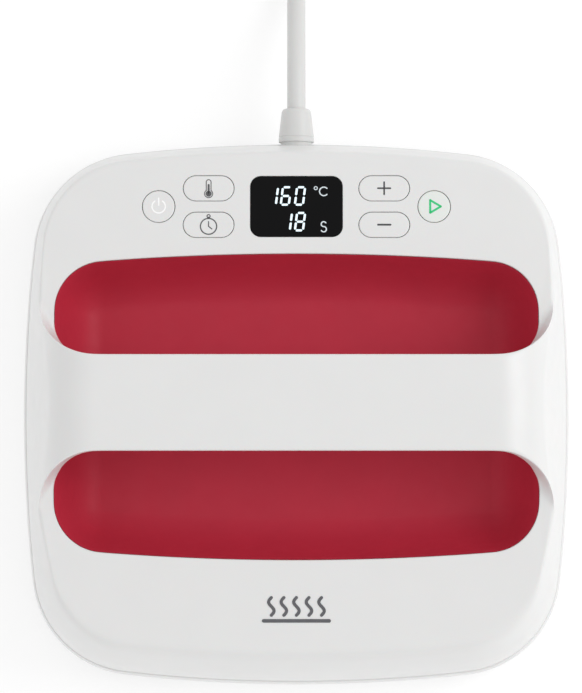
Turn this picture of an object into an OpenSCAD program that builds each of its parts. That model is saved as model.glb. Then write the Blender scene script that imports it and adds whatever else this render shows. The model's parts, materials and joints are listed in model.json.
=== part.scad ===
// Handheld heat press: a heated plate under a white shell, with a bridge handle over a red grip well.
// The origin is the centre of the plate's working face, +Z is up and +Y points to the cord.

/* [Body outline] */
// Width of the body at its widest line
body_w = 266; // [262:1:272]
// Depth of the body at its widest line
body_d = 264; // [260:1:270]
// Radius of the long side curves
side_r = 735; // [600:5:1200]
// Radius of the body's corners
corner_r = 51; // [46:1:56]
// Wall thickness of the white shells
wall = 2.5; // [2:0.1:3]

/* [Heights] */
// Height of the line where the upper shell meets the base ring
parting_z = 26; // [26:0.5:27]
// Height of the deck at the edge of the grip well
deck_z = 72; // [70:0.5:74]
// Floor of the grip well
well_floor_z = 40; // [39:0.5:44]
// Underside of the handle shell
handle_under_z = 85; // [85:0.5:87]
// Top of the handle
handle_top_z = 105; // [103:0.5:110]

/* [Handle and grip well] */
// Half the width of the handle
handle_half = 23; // [21:0.5:25]
// Half the length of the handle's flat top
handle_flat = 95; // [90:1:98]
// Half the width of the grip well
well_x = 116; // [114:0.5:117]
// Half the depth of the grip well
well_y = 73.5; // [70:0.5:75]
// Slope of the rear deck, which carries the controls, in degrees
rear_slope = 6.8; // [4:0.1:8]
// Slope of the front deck in degrees
front_slope = 9; // [6:0.1:10]

/* [Heat plate] */
// Side of the square heat plate
plate_w = 228.6; // [228:0.1:229]
// Thickness of the heat plate
plate_t = 9; // [9:0.5:9]
// Corner radius of the heat plate
plate_r = 26; // [24:1:30]

/* [Controls] */
// Distance of the control panel's centre behind the plate's centre
panel_y = 96.5; // [95:0.5:98]
// Diameter of the round buttons
round_d = 15.4; // [14:0.1:16]
// Length of the pill buttons
pill_l = 24.2; // [22:0.1:25]
// Width of the pill buttons
pill_w = 12.2; // [11:0.1:13]
// Gap between a button and its opening
button_gap = 0.3; // [0.3:0.05:0.5]
// Travel of a button
button_travel = 0.6; // [0.4:0.1:0.6]
// Width of the display lens
lens_w = 44.3; // [42:0.1:46]
// Depth of the display lens
lens_d = 29.8; // [28:0.1:31]

/* [Cord] */
// Diameter of the mains cord
cord_d = 9; // [8:0.1:9]
// Mean radius of the coil's outer turn
coil_r_out = 59.5; // [58:0.5:60]
// Mean radius of the coil's inner turn
coil_r_in = 36; // [34:0.5:38]
// Layers of turns in the coil
coil_layers = 2; // [2:1:2]

/* [Hidden] */

WHITE = [0.93, 0.93, 0.92];
RASPBERRY = [0.64, 0.17, 0.23];
DARK = [0.13, 0.13, 0.14];
METAL = [0.75, 0.76, 0.78];
STEEL = [0.6, 0.61, 0.63];
BOARD = [0.1, 0.36, 0.22];
FIT = 0.1;

// Steps along the outline's curves
side_steps = 4;
corner_steps = 10;
flare_steps = 7;
wall_steps = 5;
cross_steps = 6;

// ---------- outline of the body ----------

arc_a = side_r - body_w / 2;
arc_b = side_r - body_d / 2;
arc_k = side_r - corner_r;
tangent_p = (arc_b * arc_b - arc_a * arc_a) / (2 * arc_a);
tangent_q = arc_b / arc_a;
tangent_s = tangent_p + arc_a;
corner_y = (-tangent_q * tangent_s + sqrt(pow(tangent_q * tangent_s, 2)
    - (pow(tangent_q, 2) + 1) * (pow(tangent_s, 2) - arc_k * arc_k))) / (pow(tangent_q, 2) + 1);
corner_x = tangent_p + tangent_q * corner_y;
side_end = atan2(corner_y, corner_x + arc_a);
rear_start = atan2(corner_y + arc_b, corner_x);

function mix(a, b, f) = a + (b - a) * f;
function smooth01(f) = let(g = min(1, max(0, f))) g * g * (3 - 2 * g);

// Point of the outline whose normal points at angle a (0 to 90), moved in by inset
function quarter_pt(a, inset) =
    a <= side_end ? [-arc_a + (side_r - inset) * cos(a), (side_r - inset) * sin(a)]
    : a >= rear_start ? [(side_r - inset) * cos(a), -arc_b + (side_r - inset) * sin(a)]
    : [corner_x + (corner_r - inset) * cos(a), corner_y + (corner_r - inset) * sin(a)];

quarter_angles = concat(
    [for (i = [0:side_steps - 1]) side_end * i / side_steps],
    [for (i = [0:corner_steps]) mix(side_end, rear_start, i / corner_steps)],
    [for (i = [1:side_steps]) mix(rear_start, 90, i / side_steps)]);
quarter_last = len(quarter_angles) - 1;

// Closed outline, anticlockwise from the middle of the right side
function outline(inset) = concat(
    [for (i = [0:quarter_last]) quarter_pt(quarter_angles[i], inset)],
    [for (i = [quarter_last - 1:-1:0]) let(p = quarter_pt(quarter_angles[i], inset)) [-p.x, p.y]],
    [for (i = [1:quarter_last]) let(p = quarter_pt(quarter_angles[i], inset)) [-p.x, -p.y]],
    [for (i = [quarter_last - 1:-1:1]) let(p = quarter_pt(quarter_angles[i], inset)) [p.x, -p.y]]);

// Closed outline of the grip well, anticlockwise from the lower end of its rear right corner
function well_outline(inset) = let(
    q = concat([for (i = [0:10]) well_pt(well_turn * i / 10, inset)],
        [for (i = [1:4]) well_pt(mix(well_turn, 90, i / 4), inset)]),
    n = len(q) - 1) concat(
    q,
    [for (i = [n - 1:-1:0]) [-q[i].x, q[i].y]],
    [for (i = [0:n]) [-q[i].x, -q[i].y]],
    [for (i = [n - 1:-1:0]) [q[i].x, -q[i].y]]);

function round_rect(half_x, half_y, r, n = 8) = [for (q = [0:3], i = [0:n])
    let(a = 90 * q + 90 * i / n,
        sx = (q == 0 || q == 3) ? 1 : -1,
        sy = q < 2 ? 1 : -1)
    [sx * (half_x - r) + r * cos(a), sy * (half_y - r) + r * sin(a)]];

function lift(points, z) = [for (p = points) [p.x, p.y, z]];

// ---------- meshes from rings and grids ----------

// Solid between rings that all have the same number of points, anticlockwise seen from above
module loft(rings) {
    n = len(rings[0]);
    top = len(rings) - 1;
    polyhedron(
        points = [for (ring = rings, p = ring) p],
        faces = concat(
            [[for (i = [0:n - 1]) i]],
            [for (k = [0:top - 1], i = [0:n - 1], f = [0:1])
                let(j = (i + 1) % n, a = k * n, b = a + n)
                f == 0 ? [a + i, b + i, b + j] : [a + i, b + j, a + j]],
            [[for (i = [n - 1:-1:0]) top * n + i]]));
}

// Closed ring whose cross-section is the list of rings, in order round the section
module ring_loft(rings) {
    n = len(rings[0]);
    m = len(rings);
    polyhedron(
        points = [for (ring = rings, p = ring) p],
        faces = [for (k = [0:m - 1], i = [0:n - 1], f = [0:1])
            let(j = (i + 1) % n, a = k * n, b = ((k + 1) % m) * n)
            f == 0 ? [a + i, b + i, b + j] : [a + i, b + j, a + j]]);
}

// Round tube along points; ref is any direction that the tube never runs along
module tube(points, r, sides = 8, ref = [0, 0, 1]) {
    last = len(points) - 1;
    loft([for (i = [0:last])
        let(t0 = points[min(last, i + 1)] - points[max(0, i - 1)],
            t = t0 / norm(t0),
            n0 = cross(ref, t),
            n = n0 / norm(n0),
            b = cross(t, n))
        [for (s = [0:sides - 1])
            let(a = 360 * s / sides) points[i] + r * (cos(a) * n + sin(a) * b)]]);
}

// Points of a smooth curve through the given ones, with steps between each two
function spline_pt(p0, p1, p2, p3, f) = 0.5 * (2 * p1 + (p2 - p0) * f
    + (2 * p0 - 5 * p1 + 4 * p2 - p3) * f * f + (3 * p1 - p0 - 3 * p2 + p3) * f * f * f);
function spline(points, steps) = let(last = len(points) - 1) concat(
    [for (i = [0:last - 1], s = [0:steps - 1])
        spline_pt(points[max(0, i - 1)], points[i], points[i + 1], points[min(last, i + 2)],
            s / steps)],
    [points[last]]);

// Path with its corners turned through a radius
function bent(points, r, n = 4) = let(last = len(points) - 1) concat(
    [points[0]],
    [for (i = [1:last - 1], s = [0:n])
        let(u = points[i - 1] - points[i], v = points[i + 1] - points[i],
            a = points[i] + r * u / norm(u), b = points[i] + r * v / norm(v), f = s / n)
        (1 - f) * (1 - f) * a + 2 * f * (1 - f) * points[i] + f * f * b],
    [points[last]]);

// ---------- upper shell ----------

foot_inset = 1.5;
flare_y = 50;
flare_z = 77.5;
flare_angle = asin(flare_y / side_r);
roll_r = 26;
roll_angle = 60;
edge_drop = 0.8;
mouth_r = 17;
mouth_y = 40;
well_corner_r = 24;
well_arch = 1200;
side_crest_steps = 4;
rear_crest_steps = 4;

function deck_slope(side) = side > 0 ? rear_slope : front_slope;
function deck_at(side, y) = deck_z - tan(deck_slope(side)) * (abs(y) - well_y);

// How far the shell's upper edge lies inside the outline
function crest_inset(side, a) = side > 0
    ? (a < side_end ? mix(7.9, 7, (a - flare_angle) / (side_end - flare_angle))
        : mix(7, 8.7, (a - side_end) / (90 - side_end)))
    : (a < side_end ? mix(7.9, 11.5, (a - flare_angle) / (side_end - flare_angle))
        : mix(11.5, 12.6, (a - side_end) / (90 - side_end)));

function crest_z(side, y) = deck_at(side, y)
    + (flare_z - deck_at(side, flare_y)) * (1 - smooth01((abs(y) - flare_y) / 42));

// The inside of the shell stays lower where the upper edge is a thin fin beside the handle
function fin_drop(t, y) = t > 0 ? 10 * (1 - smooth01((abs(y) - flare_y) / 34)) : 0;

// Corner and arched long side of the well's outline, by the angle of its normal
well_cx = well_x - well_corner_r;
well_cy = well_y - well_arch + sqrt(pow(well_arch - well_corner_r, 2) - well_cx * well_cx);
well_turn = atan2(well_cy - well_y + well_arch, well_cx);
function well_pt(a, inset) = a <= well_turn
    ? [well_cx + (well_corner_r - inset) * cos(a), well_cy + (well_corner_r - inset) * sin(a)]
    : [(well_arch - inset) * cos(a), well_y - well_arch + (well_arch - inset) * sin(a)];

crest_angles = concat(
    [for (i = [0:side_crest_steps - 1]) mix(flare_angle, side_end, i / side_crest_steps)],
    [for (i = [0:corner_steps]) mix(side_end, rear_start, i / corner_steps)],
    [for (i = [1:rear_crest_steps]) mix(rear_start, 90, i / rear_crest_steps)]);

// Point of the wall at height fraction v, from the foot to the crest; t moves it inwards
function wall_pt(side, a, v, t, foot_z) =
    let(c = mix(foot_inset, crest_inset(side, a), pow(v, 1.6)) + t,
        crest = quarter_pt(a, crest_inset(side, a) + t),
        p = quarter_pt(a, c))
    [p.x, side * p.y, mix(foot_z, crest_z(side, crest.y) - t - fin_drop(t, crest.y), v)];

handle_stations = [0, 0.5, 1];

// The upper edge from the handle's middle round to the middle of the deck's far edge, for x >= 0
function crest_half(side, t, foot_z) = concat(
    [for (f = handle_stations)
        [f * handle_flat, side * (handle_half - t), handle_top_z - edge_drop - t]],
    [for (i = [1:flare_steps - 1]) let(a = 90 * i / flare_steps, start = wall_pt(side, flare_angle, 1, t, foot_z))
        [mix(handle_flat, start.x, sin(a)),
         side * mix(handle_half - t, abs(start.y), 1 - cos(a)),
         mix(start.z, handle_top_z - edge_drop - t, cos(a))]],
    [for (a = crest_angles) wall_pt(side, a, 1, t, foot_z)]);

// The deck's inner edge, point for point beside the upper edge; grow moves it outwards
function mouth_half(side, t, grow = 0) =
    let(turn_r = mouth_r + grow) [for (p = concat(
    [for (f = handle_stations) [f * handle_flat, handle_half + 0.6 - grow]],
    [for (i = [1:flare_steps - 1]) let(a = 90 * i / flare_steps)
        [well_x - mouth_r + turn_r * sin(a), mouth_y - turn_r * cos(a)]],
    [for (i = [0:side_crest_steps - 1])
        [well_x + grow, mix(mouth_y, well_cy, i / side_crest_steps)]],
    [for (i = [0:corner_steps]) well_pt(well_turn * i / corner_steps, -grow)],
    [for (i = [1:rear_crest_steps]) well_pt(mix(well_turn, 90, i / rear_crest_steps), -grow)]))
    [p.x, side * p.y, deck_at(side, p.y) - t]];

// Handle's end profile along its middle line, then the wall below it
function handle_mid(t, foot_z) = concat(
    [for (f = handle_stations) [f * handle_flat, handle_top_z - t]],
    [for (i = [1:flare_steps]) let(a = roll_angle * i / flare_steps)
        [handle_flat + (roll_r - t) * sin(a), handle_top_z - t - (roll_r - t) * (1 - cos(a))]],
    [for (k = [1:wall_steps]) let(v = 1 - k / wall_steps)
        [mix(body_w / 2 - foot_inset, handle_flat + roll_r * sin(roll_angle), pow(v, 1.3)) - t,
         mix(foot_z, handle_top_z - t - (roll_r - t) * (1 - cos(roll_angle)), v)]]);

function edge_line(side, t, foot_z) = let(crest = crest_half(side, t, foot_z)) concat(
    [for (i = [0:len(handle_stations) + flare_steps - 1]) crest[i]],
    [for (k = [1:wall_steps]) wall_pt(side, flare_angle, 1 - k / wall_steps, t, foot_z)]);

// Handle and side walls as rows across from the front edge to the rear edge
function saddle(t, foot_z) =
    let(mid = handle_mid(t, foot_z), rear = edge_line(1, t, foot_z), front = edge_line(-1, t, foot_z))
    [for (i = [0:len(mid) - 1]) [for (j = [-cross_steps:cross_steps])
        let(w = j / cross_steps, e = w < 0 ? front[i] : rear[i])
        [mix(mid[i].x, e.x, w * w), abs(w) * e.y, mix(mid[i].y, e.z, w * w)]]];

function mirror_rows(rows) = [for (row = rows) [for (p = row) [-p.x, p.y, p.z]]];

function grid_faces(rows, start, flip) =
    let(n = len(rows[0]))
    [for (k = [0:len(rows) - 2], i = [0:n - 2], f = [0:1])
        let(a = start + k * n + i, b = a + n,
            tri = f == 0 ? [a, b, b + 1] : [a, b + 1, a + 1])
        flip ? [tri[2], tri[1], tri[0]] : tri];

function flat(rows) = [for (row = rows, p = row) p];

// The closed body inside the white surface moved in by t, with its foot at foot_z
module shell_body(t, foot_z) {
    saddle_rows = saddle(t, foot_z);
    wall_rows = [for (side = [1, -1]) [for (k = [0:wall_steps])
        [for (a = crest_angles) wall_pt(side, a, 1 - k / wall_steps, t, foot_z)]]];
    deck_rows = [for (side = [1, -1]) [crest_half(side, t, foot_z), mouth_half(side, t, 1.5 * t)]];
    mouths = [for (side = [1, -1]) let(m = mouth_half(side, t, 1.5 * t))
        concat(m, [for (i = [len(m) - 2:-1:1]) [-m[i].x, m[i].y, m[i].z]])];
    foot_row = saddle_rows[len(saddle_rows) - 1];
    rear_foot = wall_rows[0][wall_steps];
    front_foot = wall_rows[1][wall_steps];
    last = len(crest_angles) - 1;
    foot = concat(
        foot_row,
        [for (i = [1:last]) rear_foot[i]],
        [for (i = [last - 1:-1:1]) [-rear_foot[i].x, rear_foot[i].y, rear_foot[i].z]],
        [for (i = [len(foot_row) - 1:-1:0]) [-foot_row[i].x, foot_row[i].y, foot_row[i].z]],
        [for (i = [1:last]) [-front_foot[i].x, front_foot[i].y, front_foot[i].z]],
        [for (i = [last - 1:-1:1]) front_foot[i]]);
    grids = [[saddle_rows, true], [mirror_rows(saddle_rows), false],
        [wall_rows[0], true], [mirror_rows(wall_rows[0]), false],
        [wall_rows[1], false], [mirror_rows(wall_rows[1]), true],
        [deck_rows[0], false], [mirror_rows(deck_rows[0]), true],
        [deck_rows[1], true], [mirror_rows(deck_rows[1]), false]];
    sizes = [for (g = grids) len(g[0]) * len(g[0][0])];
    starts = [for (i = 0, sum = 0; i <= len(grids); sum = sum + (i < len(grids) ? sizes[i] : 0), i = i + 1) sum];
    mouth_n = len(mouths[0]);
    lids = starts[len(grids)];
    foot_start = lids + 2 * mouth_n;
    polyhedron(
        points = concat([for (g = grids, p = flat(g[0])) p], mouths[0], mouths[1], foot),
        faces = concat(
            [for (i = [0:len(grids) - 1], f = grid_faces(grids[i][0], starts[i], grids[i][1])) f],
            [[for (i = [mouth_n - 1:-1:0]) lids + i]],
            [[for (i = [0:mouth_n - 1]) lids + mouth_n + i]],
            [[for (i = [0:len(foot) - 1]) foot_start + i]]));
}

// ---------- places on the two decks ----------

module on_panel(x, y, z) {
    translate([0, panel_y, deck_at(1, panel_y)])
        rotate([-rear_slope, 0, 0]) translate([x, y, z]) children();
}

module on_front(x, y, z) {
    translate([0, -emblem_y, deck_at(-1, emblem_y)])
        rotate([front_slope, 0, 0]) translate([x, y, z]) children();
}

module pill(l, w, h) {
    translate([0, 0, h / 2]) cube([l - w, w, h], center = true);
    for (sx = [-1, 1]) translate([sx * (l - w) / 2, 0, 0]) cylinder(d = w, h = h, $fn = 48);
}

module slab(half_x, half_y, r, z0, z1) {
    translate([0, 0, z0]) linear_extrude(z1 - z0) polygon(round_rect(half_x, half_y, r));
}

module frame_slab(outer, r_outer, inner, r_inner, z0, z1) {
    translate([0, 0, z0]) linear_extrude(z1 - z0) difference() {
        polygon(round_rect(outer, outer, r_outer));
        polygon(round_rect(inner, inner, r_inner));
    }
}

emblem_y = 97.3;
pill_x = 42.2;
pill_pitch = 17.95;
round_x = 66.2;
board_depth = 12;
board_t = 1.6;
switch_h = 3.5;
actuator_h = 1.3;
stop_gap = 0.1;
flange_extra = 1.2;
flange_t = 1.2;

ROUND_BUTTONS = [[-round_x, 0], [round_x, 0]];
PILL_BUTTONS = [for (sx = [-1, 1], sy = [1, -1]) [sx * pill_x, sy * pill_pitch / 2]];
BUTTONS = concat(ROUND_BUTTONS, PILL_BUTTONS);
BOARD_SCREWS = [for (sx = [-1, 1], sy = [-1, 1]) [sx * 72.5, sy * 13]];

// Screws that hold the base ring to the upper shell, with the wall beside each
rim_screw = 123.6;
RIM_SCREWS = concat(
    [for (sx = [-1, 1], sy = [-1, 1]) [sx * rim_screw, sy * 62, sx * 3, 0]],
    [for (sx = [-1, 1], sy = [-1, 1]) [sx * 62, sy * (rim_screw - 1), 0, sy * 3]]);
rim_boss_low = 11.6;
rim_boss_top = 46;
power_board_z = 34;
POWER_SCREWS = [for (sx = [-1, 1], y = [-110, -82]) [sx * 50, y]];
GRIP_SCREWS = [for (sx = [-1, 1], f = [30, 85]) sx * f];
relief_z = parting_z;
relief_r = 7.5;

// The two mouths of the well, cut straight down
module well_mouths() {
    for (side = [-1, 1]) let(m = mouth_half(side, 0, 0.3))
        translate([0, 0, parting_z - 2]) linear_extrude(handle_under_z - parting_z + 2)
            polygon(concat([for (p = m) [p.x, p.y]],
                [for (i = [len(m) - 2:-1:1]) [-m[i].x, m[i].y]]));
}

// The arched passage under the handle
arch_r = 14;
arch_x = 99;

module arch_passage() {
    depth = 2 * mouth_y - 4;
    rotate([90, 0, 0]) translate([0, 0, -depth / 2]) linear_extrude(depth) polygon(concat(
        [[arch_x + arch_r, parting_z - 2]],
        [for (i = [0:8]) let(a = 90 * i / 8)
            [arch_x + arch_r * cos(a), handle_under_z - arch_r + arch_r * sin(a)]],
        [for (i = [8:-1:0]) let(a = 90 * i / 8)
            [-arch_x - arch_r * cos(a), handle_under_z - arch_r + arch_r * sin(a)]],
        [[-arch_x - arch_r, parting_z - 2]]));
}

// White block that closes the handle's end above the arch
module handle_shoulder(sx) {
    depth = 2 * handle_half;
    mirror([sx < 0 ? 1 : 0, 0, 0]) {
        translate([arch_x - 1, -handle_half, handle_under_z - arch_r])
            cube([arch_r + 0.8, depth, arch_r + 3]);
        translate([arch_x - 1, -handle_half, handle_under_z - 4]) cube([19, depth, 7]);
    }
}

module rim_boss(s) {
    hull() {
        translate([s[0], s[1], rim_boss_low]) cylinder(r = 3.2, h = 34, $fn = 24);
        translate([s[0] + s[2] * 0.2, s[1] + s[3] * 0.2, rim_boss_top - 1])
            cylinder(r = 3.2, h = 8, $fn = 24);
    }
}

module top_housing() {
    color(WHITE) difference() {
        union() {
            difference() {
                shell_body(0, parting_z);
                shell_body(wall, parting_z - 1);
                well_mouths();
            }
            for (sx = [-1, 1]) handle_shoulder(sx);
            intersection() {
                union() {
                    for (s = RIM_SCREWS) rim_boss(s);
                    for (p = BOARD_SCREWS) on_panel(p.x, p.y, -board_depth)
                        cylinder(r = 3, h = board_depth - 1, $fn = 24);
                    for (p = POWER_SCREWS) translate([p.x, p.y, power_board_z + board_t])
                        cylinder(r = 3, h = 36, $fn = 24);
                    for (x = GRIP_SCREWS) translate([x, 0, handle_under_z + 0.4])
                        cylinder(r = 3.2, h = 18, $fn = 24);
                }
                union() {
                    shell_body(wall / 2, parting_z);
                    translate([0, 0, 5]) slab(128, 127, 40, 0, parting_z - 4.9);
                }
            }
        }
        arch_passage();
        for (p = ROUND_BUTTONS) on_panel(p.x, p.y, -6)
            cylinder(d = round_d + 2 * button_gap, h = 12, $fn = 48);
        for (p = PILL_BUTTONS) on_panel(p.x, p.y, -6)
            pill(pill_l + 2 * button_gap, pill_w + 2 * button_gap, 12);
        on_panel(0, 0, 0) slab(lens_w / 2 + FIT, lens_d / 2 + FIT, 5.1 + FIT, -1.8, 4);
        on_panel(0, 0, 0) slab(20, 12.7, 2, -6, 4);
        for (s = RIM_SCREWS) translate([s[0], s[1], 0]) cylinder(r = 1.25, h = 38, $fn = 24);
        for (p = BOARD_SCREWS) on_panel(p.x, p.y, -board_depth - 1)
            cylinder(r = 1.2, h = 9, $fn = 24);
        for (p = POWER_SCREWS) translate([p.x, p.y, power_board_z])
            cylinder(r = 1.2, h = 16, $fn = 24);
        for (x = GRIP_SCREWS) translate([x, 0, handle_under_z - 1])
            cylinder(r = 1.25, h = 14, $fn = 24);
        translate([0, 120, relief_z]) rotate([-90, 0, 0]) cylinder(r = relief_r + FIT, h = 20, $fn = 64);
    }
}

// ---------- lower shell and the parts round the heat plate ----------

ring_flange_z = 6.5;
ring_flange_t = 2.5;
ring_open = 120;
frame_lip = 121.1;
ring_open_r = 42;

module base_ring() {
    z = ring_flange_z;
    profile = [[3.6, z], [1.0, z + 3], [0, z + 9.5], [0.3, parting_z - 4],
        [0.9, parting_z], [3.2, parting_z], [3.0, z + ring_flange_t], [4.4, z + ring_flange_t], [4.4, z]];
    outer = [for (p = profile) lift(outline(p[0]), p[1])];
    color(WHITE) difference() {
        union() {
            ring_loft(outer);
            translate([0, 0, z + 0.1]) linear_extrude(ring_flange_t - 0.15) polygon(outline(3.9));
            cord_saddle();
            terminal_ledge();
            for (s = RIM_SCREWS) hull() {
                translate([s[0], s[1], z + 1]) cylinder(r = 3.1, h = 4, $fn = 24);
                translate([s[0] + s[2], s[1] + s[3], z + 1]) cylinder(r = 1, h = 4, $fn = 24);
            }
        }
        slab(ring_open, ring_open, ring_open_r, 0, z + ring_flange_t + 0.1);
        slab(frame_lip + 0.2, frame_lip + 0.2, 43.3, z + ring_flange_t, z + ring_flange_t + 2.2);
        for (s = RIM_SCREWS) translate([s[0], s[1], 0]) cylinder(r = 1.7, h = 20, $fn = 24);
        for (s = RIM_SCREWS) translate([s[0], s[1], 0]) cylinder(r = 3, h = z + 1, $fn = 24);
        translate([0, 126, relief_z]) rotate([-90, 0, 0]) cylinder(r = relief_r + FIT, h = 20, $fn = 64);
    }
}

module cord_saddle() {
    difference() {
        union() {
            translate([-15, 121.7, ring_flange_z + 1]) cube([30, 3.4, relief_z - ring_flange_z - 1]);
            translate([-15, 115.5, 11.5]) cube([30, 9.6, relief_z - 11.5]);
        }
        translate([0, 110, relief_z]) rotate([-90, 0, 0]) cylinder(d = cord_d + 0.1, h = 20, $fn = 48);
        for (sx = [-1, 1]) translate([sx * 10, 120.5, 14]) cylinder(r = 1.25, h = 20, $fn = 24);
    }
}

module terminal_ledge() {
    translate([22, 110, 11.5]) cube([36, 15.5, 2]);
    translate([22, 121.7, ring_flange_z + 1]) cube([36, 3.8, 6.5]);
}

module base_frame() {
    color(DARK) union() {
        frame_slab(119.8, 41.8, 115.5, 27.2, 3.5, ring_flange_z + ring_flange_t);
        frame_slab(frame_lip, 43.1, 112.5, 24.2, 9, 11);
    }
}

module frame_seal() {
    color([0.35, 0.35, 0.36]) frame_slab(115.4, 27.1, 114.4, 26.1, 5, 8);
}

module heat_plate() {
    color(METAL) difference() {
        slab(plate_w / 2, plate_w / 2, plate_r, 0, plate_t);
        for (p = STANDOFFS) translate([p.x, p.y, plate_t - 6]) cylinder(r = 1.6, h = 7, $fn = 24);
        translate([EARTH.x, EARTH.y, plate_t - 6]) cylinder(r = 2.1, h = 7, $fn = 24);
    }
}

STANDOFFS = [for (sx = [-1, 1], sy = [-1, 1]) [sx * 98, sy * 97]];
EARTH = [72, 106];
element_r = 3.2;
element_z = plate_t + element_r + 0.05;
ELEMENT_PATH = [[-14, 98], [-14, 84], [-87, 84], [-87, -87], [87, -87], [87, 84], [46, 84],
    [46, -46], [-46, -46], [-46, 52], [14, 52], [14, 98]];

module heating_element() {
    color(STEEL) {
        tube([for (p = bent(ELEMENT_PATH, 13)) [p.x, p.y, element_z]], element_r, 10);
        for (sx = [-1, 1]) translate([sx * 14, 98, element_z]) rotate([-90, 0, 0])
            cylinder(r = 1.6, h = 9, $fn = 24);
    }
}

CLIPS = [[-87, 40, 0], [-87, -40, 0], [87, 40, 0], [87, -40, 0], [0, -87, 90], [0, -46, 90]];

module element_clips() {
    color(METAL) for (c = CLIPS) translate([c[0], c[1], plate_t]) rotate([0, 0, c[2]])
        difference() {
            translate([-8, -5, 0]) cube([16, 10, 8]);
            translate([-3.5, -6, -1]) cube([7, 12, 7.6]);
        }
}

pad_z = 17.2;
pad_t = 6;
shield_z = 23.3;
shield_t = 0.8;

module insulation_pad() {
    color([0.9, 0.88, 0.8]) difference() {
        slab(104, 100, 22, pad_z, pad_z + pad_t);
        for (p = STANDOFFS) translate([p.x, p.y, pad_z - 1]) cylinder(r = 5.4, h = pad_t + 2, $fn = 32);
    }
}

module heat_shield() {
    color(STEEL) difference() {
        union() {
            slab(107, 105, 24, shield_z, shield_z + shield_t);
            for (sx = [-1, 1]) translate([sx * 45 - 30, -84, shield_z]) cube([60, 6, 2]);
        }
        for (p = STANDOFFS) translate([p.x, p.y, shield_z - 1]) cylinder(r = 1.7, h = 5, $fn = 24);
    }
}

module shield_standoffs() {
    color([0.92, 0.9, 0.84]) for (p = STANDOFFS) translate([p.x, p.y, plate_t]) difference() {
        cylinder(r = 5, h = shield_z - plate_t, $fn = 48);
        translate([0, 0, -1]) cylinder(r = 1.7, h = 20, $fn = 24);
    }
}

module pan_screw(shaft_r, shaft_l, head_r, head_h) {
    translate([0, 0, -shaft_l]) cylinder(r = shaft_r, h = shaft_l + 0.2, $fn = 24);
    difference() {
        cylinder(r = head_r, h = head_h, $fn = 32);
        for (a = [0, 90]) rotate([0, 0, a]) translate([-head_r * 0.6, -0.3, head_h - 0.8])
            cube([head_r * 1.2, 0.6, 1]);
    }
}

module shield_screws() {
    color(METAL) for (p = STANDOFFS) translate([p.x, p.y, shield_z + shield_t])
        pan_screw(1.5, 20, 2.9, 2.2);
}

module temperature_sensor() {
    color([0.85, 0.83, 0.75]) {
        translate([-22, 0, plate_t]) cube([14, 9, 1.2]);
        translate([-15, 4.5, plate_t + 1]) cylinder(r = 3.2, h = 5.5, $fn = 32);
    }
}

module thermal_fuse() {
    color([0.7, 0.55, 0.35]) {
        translate([4, 2, plate_t]) cube([26, 8, 1]);
        translate([8, 6, plate_t + 3.4]) rotate([0, 90, 0]) cylinder(r = 2.6, h = 18, $fn = 32);
    }
}

// ---------- grip well and handle underside ----------

module grip_well() {
    gap = 0.15;
    shell = 2.2;
    floor_r = 17;
    depth_top = 1.2;
    function ring(inset, z) = lift(well_outline(inset), z);
    function rim(inset) = [for (p = well_outline(inset))
        [p.x, p.y, deck_at(p.y >= 0 ? 1 : -1, p.y) - depth_top]];
    function floor_rings(inset, z, dir) = [for (i = [0:5])
        let(a = dir > 0 ? 15 * (i + 1) : 15 * (6 - i))
        ring(inset + floor_r * (1 - sin(a)), z + floor_r * (1 - cos(a)))];
    color(RASPBERRY) loft(concat(
        floor_rings(2 + gap, well_floor_z - shell, 1),
        [ring(1 + gap, 62), rim(gap), rim(gap + shell), ring(1 + gap + shell, 62)],
        floor_rings(2 + gap + shell, well_floor_z, -1)));
}

grip_x = 98;

module handle_grip() {
    color(RASPBERRY) difference() {
        union() {
            slab(grip_x, handle_half, 3, handle_under_z - 3, handle_under_z);
            slab(handle_flat - 3, handle_half - wall - 0.9, 2, handle_under_z - 1, handle_under_z + 3);
        }
        for (x = GRIP_SCREWS) translate([x, 0, 0]) {
            translate([0, 0, handle_under_z + 0.4]) cylinder(r = 3.4, h = 9, $fn = 32);
            translate([0, 0, handle_under_z - 4]) cylinder(r = 1.7, h = 12, $fn = 24);
            translate([0, 0, handle_under_z - 4]) cylinder(r = 3.2, h = 2.6, $fn = 32);
        }
    }
}

module grip_screws() {
    color(METAL) for (x = GRIP_SCREWS) translate([x, 0, handle_under_z - 1.4]) rotate([180, 0, 0])
        pan_screw(1.2, 12, 2.9, 1.4);
}

// ---------- controls ----------

module display_lens() {
    color([0.03, 0.03, 0.035]) on_panel(0, 0, 0) slab(lens_w / 2, lens_d / 2, 5.1, -1.8, 0.1);
}

module display_module() {
    color([0.2, 0.2, 0.22]) on_panel(0, 0, 0) {
        slab(19.8, 12.5, 1, -4.5, -1.9);
        slab(21.6, 13.6, 1, -8.5, -4.5);
        for (sx = [-1, 1], i = [-4:4]) translate([sx * 19, i * 2.54, -board_depth])
            cylinder(r = 0.4, h = 4, $fn = 16);
    }
}

module control_pcb() {
    color(BOARD) on_panel(0, 0, 0) difference() {
        slab(77, 16.5, 2, -board_depth - board_t, -board_depth);
        for (p = BOARD_SCREWS) translate([p.x, p.y, -20]) cylinder(r = 1.4, h = 20, $fn = 24);
    }
}

module tact_switches() {
    color([0.15, 0.15, 0.16]) for (p = BUTTONS) on_panel(p.x, p.y, -board_depth) {
        translate([-3, -3, 0]) cube([6, 6, switch_h]);
        cylinder(r = 1.7, h = switch_h + actuator_h, $fn = 32);
    }
}

module buzzer() {
    color([0.1, 0.1, 0.1]) on_panel(27.5, -11.5, -board_depth) difference() {
        cylinder(r = 4.4, h = 6, $fn = 48);
        translate([0, 0, 4]) cylinder(r = 1, h = 3, $fn = 24);
    }
}

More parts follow.
